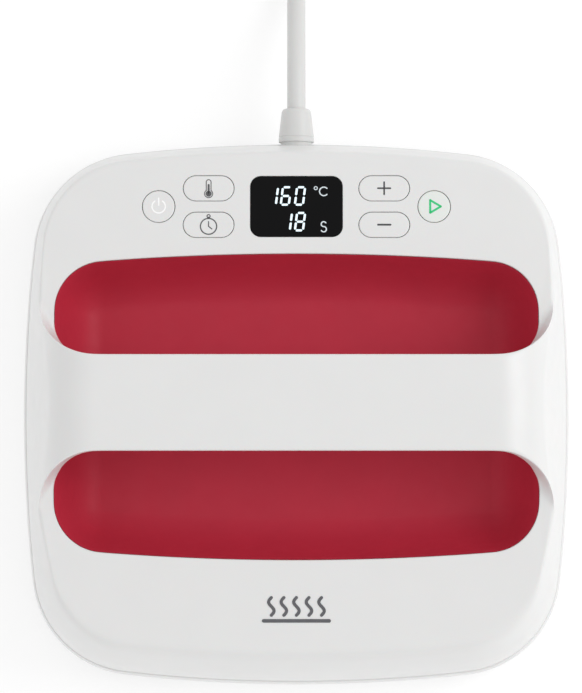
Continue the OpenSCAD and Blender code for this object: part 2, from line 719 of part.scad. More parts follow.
module button_stem(r) {
    translate([0, 0, -board_depth + switch_h + actuator_h + button_travel + stop_gap])
        cylinder(r = r, h = board_depth - switch_h - actuator_h - button_travel - stop_gap - 2,
            $fn = 32);
}

module button_cap(p, colour, is_round) {
    grow = 2 * flange_extra;
    low = -wall * 1.02 - 0.2 - flange_t;
    color(colour) on_panel(p.x, p.y, 0) {
        if (is_round) {
            translate([0, 0, low]) cylinder(d = round_d, h = -low, $fn = 64);
            translate([0, 0, low]) cylinder(d = round_d + grow, h = flange_t, $fn = 64);
        } else {
            translate([0, 0, low]) pill(pill_l, pill_w, -low);
            translate([0, 0, low]) pill(pill_l + grow, pill_w + grow, flange_t);
        }
        button_stem(1.7);
    }
}

module power_button() { button_cap(ROUND_BUTTONS[0], [0.9, 0.9, 0.89], true); }
module start_button() { button_cap(ROUND_BUTTONS[1], [0.45, 0.8, 0.55], true); }
module temperature_button() { button_cap(PILL_BUTTONS[0], [0.9, 0.9, 0.89], false); }
module timer_button() { button_cap(PILL_BUTTONS[1], [0.9, 0.9, 0.89], false); }
module plus_button() { button_cap(PILL_BUTTONS[2], [0.9, 0.9, 0.89], false); }
module minus_button() { button_cap(PILL_BUTTONS[3], [0.9, 0.9, 0.89], false); }

// Plain heat symbol: five rising waves over a bar
module front_emblem() {
    function wave(x) = concat(
        [for (i = [0:10]) [x - 0.8 + 1.3 * sin(36 * i), -2.5 + 0.85 * i]],
        [for (i = [10:-1:0]) [x + 0.8 + 1.3 * sin(36 * i), -2.5 + 0.85 * i]]);
    color([0.33, 0.33, 0.35]) on_front(0, 0, 0) {
        for (x = [-12:6:12]) linear_extrude(0.3) polygon(wave(x));
        translate([0, -5.2, 0]) pill(33, 1.8, 0.3);
    }
}

// ---------- power electronics ----------

module power_pcb() {
    color(BOARD) difference() {
        translate([-58, -114, power_board_z]) cube([116, 36, board_t]);
        for (p = POWER_SCREWS) translate([p.x, p.y, 0]) cylinder(r = 1.4, h = 50, $fn = 24);
    }
}

board_top = power_board_z + board_t;

module relay() {
    color([0.1, 0.2, 0.45]) translate([-42, -109, board_top]) cube([19, 15.5, 15]);
}

module transformer() {
    color([0.85, 0.75, 0.25]) translate([-16, -111, board_top]) {
        cube([26, 22, 3]);
        translate([2, 3, 3]) cube([22, 16, 12]);
        translate([7, 0, 3]) cube([12, 22, 9]);
    }
}

module film_capacitor() {
    color([0.75, 0.6, 0.15]) translate([-42, -90, board_top]) cube([18, 7, 13]);
}

module mains_fuse() {
    color([0.8, 0.8, 0.78]) {
        translate([-14, -84, board_top + 3.2]) rotate([0, 90, 0]) cylinder(r = 2.6, h = 20, $fn = 32);
        for (x = [-14, 2]) translate([x, -86, board_top]) cube([4, 4, 3]);
    }
}

module heatsink() {
    color(METAL) translate([17, -107, board_top]) {
        cube([26, 2, 18]);
        for (i = [0:5]) translate([i * 4.8, -5, 0]) cube([1.5, 6, 18]);
    }
}

module triac() {
    color([0.1, 0.1, 0.1]) {
        translate([25, -105, board_top + 4]) cube([10, 4.4, 12]);
        for (i = [0:2]) translate([27 + i * 2.5, -103, board_top]) cube([0.8, 0.8, 5]);
    }
}

module terminal_block() {
    color([0.93, 0.92, 0.88]) difference() {
        translate([24, 111, 13.5]) cube([30, 9.5, 11]);
        for (i = [0:2]) translate([29.5 + i * 9.5, 115.5, 18]) cylinder(r = 2, h = 10, $fn = 24);
    }
}

LEAD_ROUTES = [
    [[30, 110.6, 28], [29, 101, 31.5], [24, 86, 32], [22, 20, 32], [14, -60, 31], [2, -90, 31.6],
        [-4, -102, 32.3]],
    [[40, 110.6, 28], [39, 99, 31.5], [32, 84, 32], [30, 20, 32], [24, -60, 31], [22, -90, 31.6],
        [20, -102, 32.3]]];

module mains_leads() {
    color([0.3, 0.25, 0.6]) for (route = LEAD_ROUTES)
        tube(spline(route, 4), 1.5, 8, [1, 0.1, 0.1]);
}

module heater_leads() {
    color([0.85, 0.82, 0.75]) for (sx = [-1, 1])
        tube(concat([[sx * 14, 107.1, element_z]], spline([[sx * 14, 108.6, element_z],
            [sx * 15, 112, 15], [sx * 16, 112.5, 21], [sx * 19, 105, 26], [sx * 40, 60, 26.2],
            [sx * 46, -20, 26.2], [sx * 46, -70, 27.6], [sx * 46, -96, 32.2]], 4)),
            1.6, 8, [1, 0.2, 0.1]);
}

module earth_lead() {
    color([0.6, 0.7, 0.2]) {
        translate([EARTH.x, EARTH.y, plate_t]) cylinder(r = 4.4, h = 1, $fn = 32);
        translate([EARTH.x, EARTH.y, plate_t + 1]) pan_screw(1.95, 6, 3.4, 2.4);
        tube(spline([[68, 106.4, 10.9], [64, 107.5, 15], [60.5, 113, 19], [55.5, 115, 19.5]], 4),
            1.3, 8, [0, 0.2, 1]);
    }
}

module ribbon_cable() {
    color([0.7, 0.7, 0.72]) {
        tube_points = [[0, 84.5, 54.5], [0, 79.5, 50], [0, 78.6, 42], [0, 77, 36], [0, 66, 33.3],
            [0, 20, 33.3], [0, -60, 33.3], [0, -76, 33]];
        for (i = [-3:3]) tube([for (p = spline(tube_points, 3)) [p.x - 60 + i * 1.3, p.y, p.z]],
            0.62, 6, [1, 0, 0]);
    }
}

module cord_clamp() {
    color([0.15, 0.15, 0.16]) difference() {
        translate([-15, 116, relief_z + 0.2]) cube([30, 9, 7]);
        translate([0, 110, relief_z]) rotate([-90, 0, 0]) cylinder(d = cord_d + 0.1, h = 20, $fn = 48);
        for (sx = [-1, 1]) translate([sx * 10, 120.5, relief_z - 1]) cylinder(r = 1.7, h = 20, $fn = 24);
    }
}

module clamp_screws() {
    color(METAL) for (sx = [-1, 1]) translate([sx * 10, 120.5, relief_z + 7.2])
        pan_screw(1.2, 16, 2.8, 2);
}

module pcb_screws() {
    color(METAL) {
        for (p = BOARD_SCREWS) on_panel(p.x, p.y, -board_depth - board_t) rotate([180, 0, 0])
            pan_screw(1.15, 8, 2.4, 1.6);
        for (p = POWER_SCREWS) translate([p.x, p.y, power_board_z]) rotate([180, 0, 0])
            pan_screw(1.15, 12, 2.4, 1.6);
    }
}

module housing_screws() {
    color(METAL) for (s = RIM_SCREWS) translate([s[0], s[1], ring_flange_z + 1]) rotate([180, 0, 0])
        pan_screw(1.2, 26, 2.8, 1.6);
}

// ---------- cord, coil and plug ----------

relief_end = 148.7;
cord_r = cord_d / 2;

module strain_relief() {
    color([0.86, 0.86, 0.85]) translate([0, 0, relief_z]) rotate([-90, 0, 0])
        rotate_extrude($fn = 64) polygon([[cord_r + 0.1, 125.2], [10, 125.2], [10, 126.9],
            [relief_r, 126.9], [relief_r, 131.9], [8.55, 132.3], [8.5, 134.6], [7.1, 146.7],
            [6.5, 148], [5.6, relief_end], [cord_r + 0.1, relief_end]]);
}

// The cord's route from the clamp to its coil, laid on the floor beyond the shell
coil_x = -33;
coil_y = 305;
coil_lift = 0.8;
CORD_ROUTE = [[0, 114, 26], [0, 130, 26], [0, 149, 26], [0, 158, 25.9], [0, 168, 24.8],
    [0, 180, 21.6], [0, 192, 16.6], [0, 204, 11.2], [0, 216, 6.9], [0.3, 228, 4.9],
    [1.6, 240, 4.6], [5, 252, 4.6], [10.4, 264, 4.8], [16.6, 276, 5.2], [22.2, 288, 5.3]];

module cord() {
    color([0.9, 0.9, 0.89]) tube(spline(CORD_ROUTE, 2), cord_r, 12, [1, 0, 0.02]);
}

coil_top = coil_lift + coil_layers * cord_d;

module cord_coil() {
    corner = 3;
    r0 = coil_r_in - cord_r;
    r1 = coil_r_out + cord_r;
    color([0.88, 0.88, 0.87]) translate([coil_x, coil_y, 0]) rotate_extrude($fn = 72)
        polygon([for (p = round_rect((r1 - r0) / 2, (coil_top - coil_lift) / 2, corner, 3))
            p + [(r0 + r1) / 2, (coil_lift + coil_top) / 2]]);
}

plug_z = 18.6;
plug_y = coil_y + 59.5;
TAIL_ROUTE = [[-50, plug_y, 14.3], [-60, plug_y, 14.5], [-70, plug_y, 15.3], [-80, plug_y, 16.7],
    [-90, plug_y, 17.9], [-98, plug_y, 18.5], [-104, plug_y, 18.6], [-112, plug_y, 18.6]];

module cord_tail() {
    color([0.9, 0.9, 0.89]) tube(spline(TAIL_ROUTE, 2), cord_r, 12, [0, 1, 0.02]);
}

module cord_tie() {
    r0 = coil_r_in - cord_r - 1.4;
    r1 = coil_r_out + cord_r + 0.5;
    color([0.2, 0.2, 0.21]) translate([coil_x, coil_y, 0]) rotate([0, 0, -115]) difference() {
        translate([r0 - 0.8, -8, 0]) cube([r1 - r0 + 1.6, 16, coil_top + 1.3]);
        translate([r0, -9, 0.75]) cube([r1 - r0, 18, coil_top - 0.25]);
    }
}

// The plug lies on its side with its pins pointing to -X
module along_plug() {
    translate([-105, plug_y, plug_z]) rotate([0, -90, 0]) children();
}

pin_r = 2.4;
pin_shank_r = 2;
pin_l = 19;
pin_spacing = 19;
plug_face = 52;

module plug_body() {
    color([0.88, 0.88, 0.87]) along_plug() difference() {
        union() {
            rotate_extrude($fn = 64) polygon([[cord_r + 0.1, 0], [5.6, 0], [6.1, 1], [7.4, 18],
                [9, 21], [16, 30], [18.2, 34], [18.5, 38], [18.5, 50], [17.5, plug_face],
                [0, plug_face], [0, 8], [cord_r + 0.1, 8]]);
        }
        for (sy = [-1, 1]) translate([0, sy * pin_spacing / 2, plug_face - 10])
            cylinder(r = pin_shank_r, h = 11, $fn = 32);
        for (sx = [-1, 1]) translate([sx * 17.2 - 1.5, -3, 36]) cube([3, 6, 20]);
    }
}

module plug_pins() {
    color(METAL) along_plug() for (sy = [-1, 1]) translate([0, sy * pin_spacing / 2, plug_face - 10])
        rotate_extrude($fn = 32) polygon([[0, 0], [pin_shank_r, 0], [pin_shank_r, 10], [pin_r, 10],
            [pin_r, pin_l + 8.5], [1.2, pin_l + 10], [0, pin_l + 10]]);
}

module earth_contacts() {
    color(METAL) along_plug() for (sx = [-1, 1]) translate([sx * 16.9 - 0.4, -2.5, 36.2])
        cube([0.8, 5, 15]);
}

top_housing();
base_ring();
grip_well();
handle_grip();
base_frame();
frame_seal();
heat_plate();
heating_element();
element_clips();
insulation_pad();
heat_shield();
shield_standoffs();
shield_screws();
temperature_sensor();
thermal_fuse();
display_lens();
display_module();
control_pcb();
tact_switches();
buzzer();
power_button();
temperature_button();
timer_button();
plus_button();
minus_button();
start_button();
front_emblem();
power_pcb();
relay();
transformer();
film_capacitor();
mains_fuse();
heatsink();
triac();
terminal_block();
mains_leads();
heater_leads();
earth_lead();
ribbon_cable();
cord_clamp();
clamp_screws();
pcb_screws();
housing_screws();
grip_screws();
strain_relief();
cord();
cord_coil();
cord_tail();
cord_tie();
plug_body();
plug_pins();
earth_contacts();
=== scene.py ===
import json
import math

import bmesh
import bpy
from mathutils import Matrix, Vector


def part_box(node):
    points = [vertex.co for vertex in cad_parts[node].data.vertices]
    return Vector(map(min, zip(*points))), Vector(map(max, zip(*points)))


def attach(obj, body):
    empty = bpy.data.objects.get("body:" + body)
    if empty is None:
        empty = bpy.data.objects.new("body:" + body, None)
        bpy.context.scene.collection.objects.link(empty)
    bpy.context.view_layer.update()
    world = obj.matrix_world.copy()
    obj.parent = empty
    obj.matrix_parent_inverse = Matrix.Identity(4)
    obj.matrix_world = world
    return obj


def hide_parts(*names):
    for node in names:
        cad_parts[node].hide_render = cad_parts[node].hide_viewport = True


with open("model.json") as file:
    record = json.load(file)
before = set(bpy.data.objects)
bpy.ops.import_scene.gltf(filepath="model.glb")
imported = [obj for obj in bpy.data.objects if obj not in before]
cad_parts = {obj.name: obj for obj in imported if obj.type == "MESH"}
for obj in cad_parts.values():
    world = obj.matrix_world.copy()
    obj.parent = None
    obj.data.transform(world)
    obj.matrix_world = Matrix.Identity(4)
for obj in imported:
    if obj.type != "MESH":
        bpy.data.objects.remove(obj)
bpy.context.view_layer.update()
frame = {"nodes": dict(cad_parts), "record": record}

MM = 0.001
BODY = "body"


def mix(a, b, f):
    return a + (b - a) * f


def smooth01(f):
    g = min(1.0, max(0.0, f))
    return g * g * (3 - 2 * g)


def sin_d(a):
    return math.sin(math.radians(a))


def cos_d(a):
    return math.cos(math.radians(a))


# ---------------------------------------------------------------- sizes, in millimetres

ring_low, ring_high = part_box("base_ring")
BODY_W = (ring_high.x - ring_low.x) / MM
BODY_D = (ring_high.y - ring_low.y) / MM
SIDE_R, CORNER_R = 735.0, 51.0
WALL = 2.5
PARTING_Z, PARTING_GAP = ring_high.z / MM, 0.3
RING_Z = ring_low.z / MM
DECK_Z, UNDER_Z, TOP_Z = 72.0, 85.0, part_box("top_housing")[1].z / MM
SHELL_T, LIP_DEEP, MOUTH_GROW = 2.2, 4.2, 1.5
HANDLE_HALF, HANDLE_FLAT = 23.0, 95.0
WELL_X, WELL_Y, WELL_R, WELL_ARCH = 116.0, 73.5, 24.0, 1200.0
WELL_FLOOR, WELL_RIM, WELL_GAP, WELL_LEAN = 40.0, 76.0, 0.15, 2.0
WELL_FILLET, WELL_REACH, WELL_SLANT, WELL_WAIST = 17.0, 22.0, 0.45, 62.5
REAR_SLOPE, FRONT_SLOPE = 6.8, 9.0
PANEL_Y, EMBLEM_Y = 96.5, 97.3
FOOT_INSET, WALL_BEND, SIDE_BEND = 1.5, 1.6, 1.3
CREST_FLARE, CREST_INSETS = 7.9, {1: (7.0, 8.7), -1: (11.5, 12.6)}
EDGE_ROUND, FAR_EDGE_ROUND, EDGE_FADE = 4.2, {1: 3.4, -1: 8.5}, 30.0
HANDLE_ROUND, LIP_ROUND = 2.6, 1.3
FLARE_Y, FLARE_LIFT, FLARE_FALL, FLARE_FADE = 50.0, 0.5, 1.3, 30.0
FIN_DROP, FIN_FADE = 10.0, 34.0
FLARE_A = math.degrees(math.asin(FLARE_Y / SIDE_R))
ROLL_R, ROLL_A, EDGE_DROP = 26.0, 60.0, 0.8
MOUTH_Y, HANDLE_LOW = 40.0, 22.0
ARCH_R, ARCH_X = 14.0, 99.0
ARCH_END = ((0.93, 76.0), (0.985, 73.4))
BASE_OPEN, BASE_OPEN_R = 120.0, 42.0
BASE_SCREW_X, BASE_SCREW_Y, BASE_SCREW_ALONG = 123.6, 122.6, 62.0
GRIP_HALF_L, GRIP_HALF_W, GRIP_R, GRIP_SCREWS = 98.0, 21.8, 4.0, (-85, -30, 30, 85)
HEAD_R, THREAD_R = 3.0, 1.7
ROUND_D, PILL_L, PILL_W, GAP = 15.4, 24.2, 12.2, 0.3
LENS_W, LENS_D, LENS_R, LENS_T, LENS_GAP = 44.3, 29.8, 5.1, 1.8, 0.1
PILL_X, PILL_PITCH, ROUND_X = 42.2, 17.95, 66.2
HOLE_DEEP, KEY_CLEAR, KEY_FLANGE, KEY_STEM_R, KEY_STEM_LOW = 7.0, 0.25, 1.2, 1.7, -6.5
PRINT_LOW, PRINT_HIGH = -0.1, 0.03
CORD_D = 9.0
RELIEF_START, RELIEF_END, CORD_HOLE_R = 125.2, 148.7, 4.6
STRAP_TURN, STRAP_W, STRAP_T, STRAP_LOW, STRAP_HIGH = -115.0, 16.0, 0.7, 0.75, 19.9
STRAP_IN, STRAP_OUT = 29.9, 65.3
FLOOR_Z, FLOOR_HALF = -0.0004, 6.0

# ---------------------------------------------------------------- camera and cords

AIM = Vector((-0.0026, 0.033, 0.016))
TILT, DISTANCE, HALF_HEIGHT, SENSOR = math.radians(4.3), 2.784, 0.16945, 36.0

camera_data = bpy.data.cameras.new("camera")
camera_data.sensor_width = SENSOR
camera_data.lens = SENSOR / 2 * DISTANCE / HALF_HEIGHT
camera_data.clip_start, camera_data.clip_end = 0.05, 30.0
camera = bpy.data.objects.new("camera", camera_data)
camera.location = AIM + DISTANCE * Vector((0, -math.sin(TILT), math.cos(TILT)))
camera.rotation_euler = (TILT, 0, 0)
bpy.context.scene.collection.objects.link(camera)
bpy.context.scene.camera = camera


def link(obj):
    bpy.context.scene.collection.objects.link(obj)
    return obj


def catmull(points, steps):
    """A smooth line through the points, with that many steps between each two."""
    out, last = [], len(points) - 1
    for i in range(last):
        p0, p1, p2, p3 = (points[max(0, min(last, i + k))] for k in (-1, 0, 1, 2))
        for s in range(steps):
            f = s / steps
            out.append(
                tuple(
                    0.5
                    * (
                        2 * b
                        + (c - a) * f
                        + (2 * a - 5 * b + 4 * c - d) * f * f
                        + (3 * b - a - 3 * c + d) * f * f * f
                    )
                    for a, b, c, d in zip(p0, p1, p2, p3)
                )
            )
    out.append(tuple(points[last]))
    return out


COIL_X, COIL_Y, COIL_R_OUT, COIL_R_IN = -0.033, 0.3044, 0.0601, 0.0362
COIL_LOW, COIL_HIGH = 0.0053, 0.0143
PLUG_Y, PLUG_Z, PLUG_X = 0.3645, 0.0186, -0.105
TURN_IN, TURN_ALL, TURN_STEP = 936, 1890, 12
CLIMB_START, CLIMB = 866, 120
CORD_ROUTE = [
    (0, 0.1487, 0.026), (0, 0.158, 0.0259), (0, 0.168, 0.0248), (0, 0.18, 0.0216),
    (0, 0.192, 0.0166), (0, 0.204, 0.0112), (0, 0.216, 0.0069), (0.0003, 0.228, 0.0049),
    (0.0016, 0.24, 0.0046), (0.005, 0.252, 0.0046), (0.0104, 0.264, 0.0048),
    (0.0166, 0.276, 0.0052), (0.0223, 0.288, 0.0053),
]
TAIL_ROUTE = [
    (-0.05, 0.3645, 0.0143), (-0.06, 0.3645, 0.0145), (-0.07, 0.3645, 0.0153),
    (-0.08, 0.3645, 0.0167), (-0.09, 0.3645, 0.0179), (-0.098, 0.3645, 0.0185),
    (-0.104, 0.3645, 0.0186), (-0.112, 0.3645, 0.0186),
]


def coil_route():
    """Turns that spiral in on the table and out again on top of them; angles are in degrees."""
    out = []
    for turned in range(0, TURN_ALL + 1, TURN_STEP):
        if turned <= TURN_IN:
            r = mix(COIL_R_OUT, COIL_R_IN, turned / TURN_IN)
        else:
            r = mix(COIL_R_IN, COIL_R_OUT, (turned - TURN_IN) / (TURN_ALL - TURN_IN))
        z = mix(COIL_LOW, COIL_HIGH, smooth01((turned - CLIMB_START) / CLIMB))
        out.append((COIL_X + r * cos_d(turned), COIL_Y + r * sin_d(turned), z))
    return out


def make_cord():
    points = catmull(CORD_ROUTE + coil_route() + TAIL_ROUTE, 3)
    curve = bpy.data.curves.new("mains_cord", "CURVE")
    curve.dimensions = "3D"
    curve.bevel_depth = CORD_D / 2 * MM
    curve.bevel_resolution = 7
    curve.use_fill_caps = True
    spline = curve.splines.new("POLY")
    spline.points.add(len(points) - 1)
    for p, co in zip(spline.points, points):
        p.co = (*co, 1.0)
    return link(bpy.data.objects.new("mains_cord", curve))


mains_cord = make_cord()

# ---------------------------------------------------------------- materials

GRAIN_HEIGHT = 0.00005
NOISE_LOW, NOISE_HIGH = 0.3, 0.7  # noise stays mostly between these


def material(name, colour, rough, metallic=0.0, mottle=0.03, mottle_scale=45.0, rough_spread=0.06,
             grain=900.0, bump=0.05, specular=0.5, glow=None, glow_strength=0.0,
             stretch=(1.0, 1.0, 1.0), cells=None, transmission=0.0, subsurface=0.0):
    """Mottled colour, uneven gloss and a fine grain, or small cells, as relief."""
    mat = bpy.data.materials.new(name)
    mat.use_nodes = True
    nodes, links = mat.node_tree.nodes, mat.node_tree.links
    shader = nodes["Principled BSDF"]
    shader.inputs["Metallic"].default_value = metallic
    shader.inputs["Specular IOR Level"].default_value = specular
    shader.inputs["Transmission Weight"].default_value = transmission
    shader.inputs["Subsurface Weight"].default_value = subsurface
    shader.inputs["Subsurface Scale"].default_value = 0.002
    place = nodes.new("ShaderNodeTexCoord")
    warp = nodes.new("ShaderNodeMapping")
    warp.inputs["Scale"].default_value = stretch
    links.new(place.outputs["Object"], warp.inputs["Vector"])

    def noise(scale, detail):
        node = nodes.new("ShaderNodeTexNoise")
        node.inputs["Scale"].default_value = scale
        node.inputs["Detail"].default_value = detail
        links.new(warp.outputs["Vector"], node.inputs["Vector"])
        return node.outputs["Fac"]

    broad = noise(mottle_scale, 4.0)
    ramp = nodes.new("ShaderNodeValToRGB")
    ramp.color_ramp.elements[0].position = NOISE_LOW
    ramp.color_ramp.elements[1].position = NOISE_HIGH
    ramp.color_ramp.elements[0].color = (*[c * (1 - mottle) for c in colour], 1)
    ramp.color_ramp.elements[1].color = (*[min(1.0, c * (1 + mottle)) for c in colour], 1)
    links.new(broad, ramp.inputs["Fac"])
    links.new(ramp.outputs["Color"], shader.inputs["Base Color"])
    if glow:
        shader.inputs["Emission Color"].default_value = (*glow, 1)
        shader.inputs["Emission Strength"].default_value = glow_strength
    rough_noise = noise(mottle_scale * 2.7, 3.0)
    spread = nodes.new("ShaderNodeMapRange")
    spread.inputs["From Min"].default_value = NOISE_LOW
    spread.inputs["From Max"].default_value = NOISE_HIGH
    spread.inputs["To Min"].default_value = max(0.02, rough - rough_spread)
    spread.inputs["To Max"].default_value = min(1.0, rough + rough_spread)
    links.new(rough_noise, spread.inputs["Value"])
    links.new(spread.outputs["Result"], shader.inputs["Roughness"])
    if cells:
        voronoi = nodes.new("ShaderNodeTexVoronoi")
        voronoi.inputs["Scale"].default_value = cells
        links.new(warp.outputs["Vector"], voronoi.inputs["Vector"])
        height = voronoi.outputs["Distance"]
    else:
        height = noise(grain, 2.0)
    dent = nodes.new("ShaderNodeBump")
    dent.inputs["Strength"].default_value = bump
    dent.inputs["Distance"].default_value = GRAIN_HEIGHT
    links.new(height, dent.inputs["Height"])
    links.new(dent.outputs["Normal"], shader.inputs["Normal"])
    return mat


SLOTS = {
    "white_shell": material("white_shell", (0.79, 0.79, 0.785), 0.34, mottle=0.006, bump=0.12,
                            grain=1500, subsurface=0.04),
    "raspberry_shell": material("raspberry_shell", (0.545, 0.029, 0.060), 0.55, mottle=0.025, bump=0.22,
                                grain=1300, specular=0.3),
    "heat_resistant_plastic": material("heat_resistant_plastic", (0.025, 0.025, 0.027), 0.55,
                                       mottle=0.12, bump=0.6, cells=1400),
    "silicone_seal": material("silicone_seal", (0.10, 0.10, 0.105), 0.7, mottle=0.08, bump=0.3),
    "coated_plate": material("coated_plate", (0.13, 0.13, 0.14), 0.36, metallic=0.6, mottle=0.04,
                             mottle_scale=90, bump=0.5, cells=2600),
    "element_steel": material("element_steel", (0.42, 0.43, 0.45), 0.34, metallic=1.0, mottle=0.14,
                              stretch=(1, 9, 1), bump=0.3),
    "bright_steel": material("bright_steel", (0.62, 0.62, 0.64), 0.22, metallic=1.0, mottle=0.08,
                             mottle_scale=300, bump=0.15),
    "ceramic": material("ceramic", (0.76, 0.72, 0.62), 0.3, mottle=0.06, mottle_scale=150, bump=0.2),
    "insulation_felt": material("insulation_felt", (0.72, 0.68, 0.55), 0.95, mottle=0.14,
                                mottle_scale=220, bump=0.9, grain=2400),
    "display_black": material("display_black", (0.0035, 0.0035, 0.0038), 0.12, mottle=0.1,
                              rough_spread=0.03, bump=0.01, specular=0.1),
    "dark_plastic": material("dark_plastic", (0.02, 0.02, 0.022), 0.5, mottle=0.12, bump=0.3),
    "circuit_board": material("circuit_board", (0.01, 0.13, 0.05), 0.38, mottle=0.25, mottle_scale=320,
                              bump=0.5, cells=900),
    "button_white": material("button_white", (0.79, 0.79, 0.785), 0.36, mottle=0.006, bump=0.1,
                             grain=1700, subsurface=0.04),
    # The start cap's faint green tint is painted light: it stands in for the green glow of the lit start
    # mark spilling over the white cap.
    "button_green": material("button_green", (0.80, 0.83, 0.80), 0.34, mottle=0.012, bump=0.1,
                             grain=1700, subsurface=0.06),
    "emblem_grey": material("emblem_grey", (0.11, 0.11, 0.12), 0.4, mottle=0.07, mottle_scale=400,
                            bump=0.15),
    "yellow_parts": material("yellow_parts", (0.7, 0.48, 0.05), 0.42, mottle=0.08, bump=0.25),
    "fuse_glass": material("fuse_glass", (0.78, 0.8, 0.8), 0.1, mottle=0.03, bump=0.04, transmission=0.4),
    "aluminium_fins": material("aluminium_fins", (0.58, 0.59, 0.61), 0.34, metallic=1.0, mottle=0.07,
                               stretch=(1, 1, 14), bump=0.3),
    "nylon": material("nylon", (0.78, 0.76, 0.7), 0.45, mottle=0.04, bump=0.2),
    "lead_sleeve": material("lead_sleeve", (0.5, 0.47, 0.4), 0.6, mottle=0.12, mottle_scale=260,
                            bump=0.7, cells=1800),
    "cord_sheath": material("cord_sheath", (0.70, 0.70, 0.69), 0.42, mottle=0.012, bump=0.2, grain=1100,
                            subsurface=0.04),
    "tie_strap": material("tie_strap", (0.03, 0.03, 0.032), 0.85, mottle=0.25, mottle_scale=500,
                          bump=1.0, cells=2200),
    "plated_brass": material("plated_brass", (0.72, 0.7, 0.64), 0.2, metallic=1.0, mottle=0.06,
                             mottle_scale=300, bump=0.1),
}
INK_DARK = material("ink_dark", (0.065, 0.065, 0.07), 0.5, mottle=0.08, mottle_scale=500, bump=0.1)
INK_GREY = material("ink_grey", (0.1, 0.1, 0.105), 0.5, mottle=0.08, mottle_scale=500, bump=0.1)
INK_WHITE = material("ink_white", (0.88, 0.88, 0.88), 0.4, mottle=0.02, mottle_scale=500, bump=0.1,
                     glow=(1, 1, 1), glow_strength=0.12)
INK_GREEN = material("ink_green", (0.02, 0.36, 0.13), 0.4, mottle=0.05, mottle_scale=500, bump=0.1,
                     glow=(0.03, 0.62, 0.22), glow_strength=0.35)
DIGIT = material("digit_light", (0.6, 0.7, 0.74), 0.4, mottle=0.04, mottle_scale=700, bump=0.1,
                 glow=(0.78, 0.93, 1.0), glow_strength=0.55)
UNIT = material("unit_light", (0.5, 0.55, 0.57), 0.4, mottle=0.04, mottle_scale=700, bump=0.1,
                glow=(0.85, 0.93, 1.0), glow_strength=0.3)

for row in frame["record"]["subparts"]:
    node = frame["nodes"][row["node"]]
    node.data.materials.clear()
    node.data.materials.append(SLOTS[row["material_slot"]])

# ---------------------------------------------------------------- mesh helpers


class Cage:
    """Vertices in millimetres and faces; grids of points become quads."""

    def __init__(self):
        self.verts, self.faces = [], []

    def face(self, points):
        start = len(self.verts)
        self.verts += points
        self.faces.append(list(range(start, start + len(points))))

    def grid(self, rows, closed=False):
        for a, b in zip(rows, rows[1:]):
            n = len(a)
            for i in range(n if closed else n - 1):
                j = (i + 1) % n
                self.face([a[i], a[j], b[j], b[i]])

    def both(self, rows):
        self.grid(rows)
        self.grid([[(-p[0], p[1], p[2]) for p in row] for row in rows])

    def rings(self, rings, loop=False):
        """Closed rings in order; the ends are capped unless they join."""
        self.grid(rings + ([rings[0]] if loop else []), closed=True)
        if not loop:
            self.face(list(rings[0]))
            self.face(list(rings[-1]))

    def prism(self, outline, z0, z1):
        self.rings([[(x, y, z) for x, y in outline] for z in (z0, z1)])


def build(name, cage, mat, body=BODY, place=None, subdivide=0, cutters=(), angle=32,
          replaces=()):
    """Makes an object from a cage, smooths and cuts it, gives it its material, joins it to its body and
    hides the CAD nodes it replaces.
    """
    verts = [place(p) for p in cage.verts] if place else cage.verts
    mesh = bpy.data.meshes.new(name)
    mesh.from_pydata([(x * MM, y * MM, z * MM) for x, y, z in verts], [], cage.faces)
    bm = bmesh.new()
    bm.from_mesh(mesh)
    bmesh.ops.remove_doubles(bm, verts=bm.verts, dist=2e-6)
    bmesh.ops.dissolve_degenerate(bm, edges=bm.edges, dist=1e-7)
    bmesh.ops.recalc_face_normals(bm, faces=bm.faces)
    bm.to_mesh(mesh)
    bm.free()
    obj = link(bpy.data.objects.new(name, mesh))
    if subdivide:
        mod = obj.modifiers.new("smooth", "SUBSURF")
        mod.levels = mod.render_levels = subdivide
        apply_modifiers(obj)
    for cutter in cutters:
        mod = obj.modifiers.new("cut", "BOOLEAN")
        mod.operation, mod.solver, mod.object = "DIFFERENCE", "EXACT", cutter
        apply_modifiers(obj)
        bpy.data.objects.remove(cutter)
    shade(obj, angle)
    if mat:
        obj.data.materials.append(mat)
    if body:
        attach(obj, body)
    if replaces:
        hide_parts(*replaces)
    return obj


def apply_modifiers(obj):
    graph = bpy.context.evaluated_depsgraph_get()
    mesh = bpy.data.meshes.new_from_object(obj.evaluated_get(graph), depsgraph=graph)
    obj.modifiers.clear()
    obj.data = mesh


def shade(obj, angle):
    """Smooth shading, with edges kept sharp above that angle."""
    mesh = obj.data
    mesh.polygons.foreach_set("use_smooth", [True] * len(mesh.polygons))
    mesh.set_sharp_from_angle(angle=math.radians(angle))
    mesh.update()


# ---------------------------------------------------------------- outline of the body

ARC_A, ARC_B, ARC_K = SIDE_R - BODY_W / 2, SIDE_R - BODY_D / 2, SIDE_R - CORNER_R
TAN_P = (ARC_B**2 - ARC_A**2) / (2 * ARC_A)
TAN_Q = ARC_B / ARC_A
TAN_S = TAN_P + ARC_A
CORNER_Y = (
    -TAN_Q * TAN_S + math.sqrt((TAN_Q * TAN_S) ** 2 - (TAN_Q**2 + 1) * (TAN_S**2 - ARC_K**2))
) / (TAN_Q**2 + 1)
CORNER_X = TAN_P + TAN_Q * CORNER_Y
SIDE_END = math.degrees(math.atan2(CORNER_Y, CORNER_X + ARC_A))
LONG_START = math.degrees(math.atan2(CORNER_Y + ARC_B, CORNER_X))


